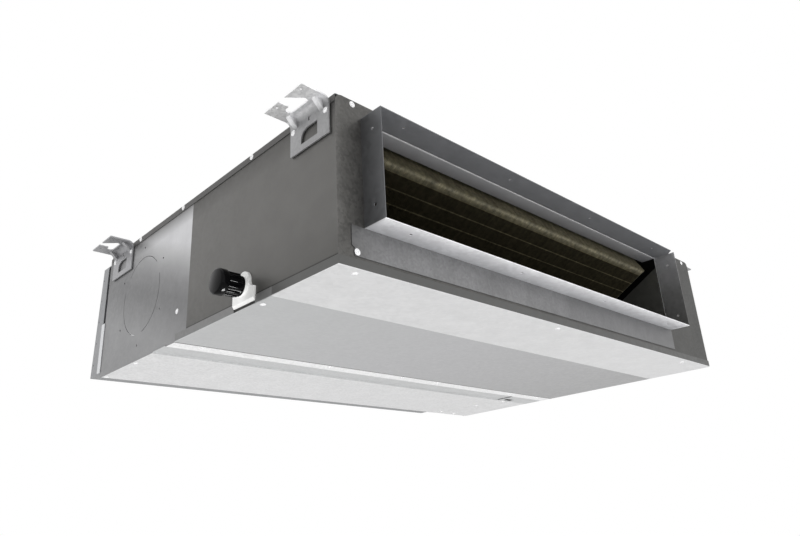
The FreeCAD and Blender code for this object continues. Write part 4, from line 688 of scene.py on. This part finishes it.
# ---- Foam lining under the top sheet: black closed-cell foam, glued on.
# It keeps the cold sheet from sweating. Cut cells make it quite matt and rough.
lining, tree, shader, place = finish("black_closed_cell_foam", {"Roughness": 0.95})
pores = grain(tree, place, 1.5, 0.75, 1.2)
tree.links.new(times(tree, colour("#1d1d1e"), pores), shader.inputs["Base Color"])
pitted = add(tree, "ShaderNodeBump", {"Height": pores, "Distance": 0.3 / 1000.0, "Strength": 0.6})
tree.links.new(pitted.outputs[0], shader.inputs["Normal"])
dress(lining, "top_insulation")

# ---- Screws: zinc-plated pan heads with a washer and a cross recess, driven through the sheets.
# One more than the solids have holds the drain pan cover by its left rim.
# bright zinc plate, its colour lifted to near white as a painted sheen, so that each head shows as a
# spot
zinc = speckled("bright_zinc_plate", "#f6f6f7", 3.0, 0.92, 1.04, Metallic=0.5, Roughness=0.25)
washer_radius, head_height = 0.005, 0.0018
extra_screw = (Vector((-0.5592, -0.196, 0.0)), Vector((0.0, 0.0, -1.0)))


def screw_places(node):
    """Where each screw of a CAD node meets its sheet, and the way its head faces."""
    found = []
    for group in islands(node):
        levels = [sorted({round(p[i], 5) for p in group}) for i in range(3)]
        axis = min(range(3), key=lambda i: len(levels[i]))
        steps = levels[axis]
        headed_high = steps[-1] - steps[-2] < steps[1] - steps[0]
        at = Vector([(level[0] + level[-1]) / 2 for level in levels])
        at[axis] = steps[-2] if headed_high else steps[1]
        way = Vector()
        way[axis] = 1.0 if headed_high else -1.0
        found.append((at, way))
    return found


def pan_head(radius, height, sides=16):
    """A domed screw head with a cross recess, on its own washer, foot at the origin and facing +Z."""
    rings = ((1.0, 0.0), (1.0, 0.22), (0.78, 0.28), (0.74, 0.66), (0.6, 0.88), (0.4, 0.97), (0.16, 1.0))
    work = bmesh.new()
    levels = []
    for share, rise in rings:
        level = []
        for k in range(sides):
            turn = 2 * math.pi * k / sides
            sink = 0.55 if k % (sides // 4) == 0 and share < 0.6 else 0.0
            reach = radius * share
            at = (reach * math.cos(turn), reach * math.sin(turn), height * (rise - sink))
            level.append(work.verts.new(at))
        levels.append(level)
    centre = work.verts.new((0.0, 0.0, height * 0.4))
    for low, high in zip(levels, levels[1:]):
        for k in range(sides):
            m = (k + 1) % sides
            work.faces.new((low[k], low[m], high[m], high[k]))
    for k in range(sides):
        work.faces.new((levels[-1][k], levels[-1][(k + 1) % sides], centre))
    work.faces.new(list(reversed(levels[0])))
    mesh = bpy.data.meshes.new("pan_head")
    work.to_mesh(mesh)
    work.free()
    return mesh


head = new_object("pan_head_pattern", pan_head(washer_radius, head_height), zinc)
tree, given, last = new_tree("screw_heads", Size=1.0)
facing = add(
    tree, "GeometryNodeInputNamedAttribute", {"Name": "facing"}, data_type="FLOAT_VECTOR"
).outputs[0]
turn = add(tree, "FunctionNodeAlignRotationToVector", {"Vector": facing}, axis="Z").outputs[0]
shape = add(tree, "GeometryNodeObjectInfo", {"Object": head}).outputs["Geometry"]
heads = add(
    tree,
    "GeometryNodeInstanceOnPoints",
    {"Points": given["Geometry"], "Instance": shape, "Rotation": turn, "Scale": given["Size"]},
).outputs[0]
end_tree(tree, last, heads, zinc)
for node in ("casing_screws", "bracket_screws"):
    spots = screw_places(node)
    if node == "casing_screws":
        spots.append(extra_screw)
    seats = bpy.data.meshes.new(node + "_seats")
    seats.from_pydata([tuple(at) for at, _ in spots], [], [])
    ways = seats.attributes.new("facing", "FLOAT_VECTOR", "POINT")
    ways.data.foreach_set("vector", [c for _, way in spots for c in way])
    screws = grown(node + "_heads", tree, seats, Size=1.0)
    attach(screws, "casing")
    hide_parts(node)
bpy.data.objects.remove(head)
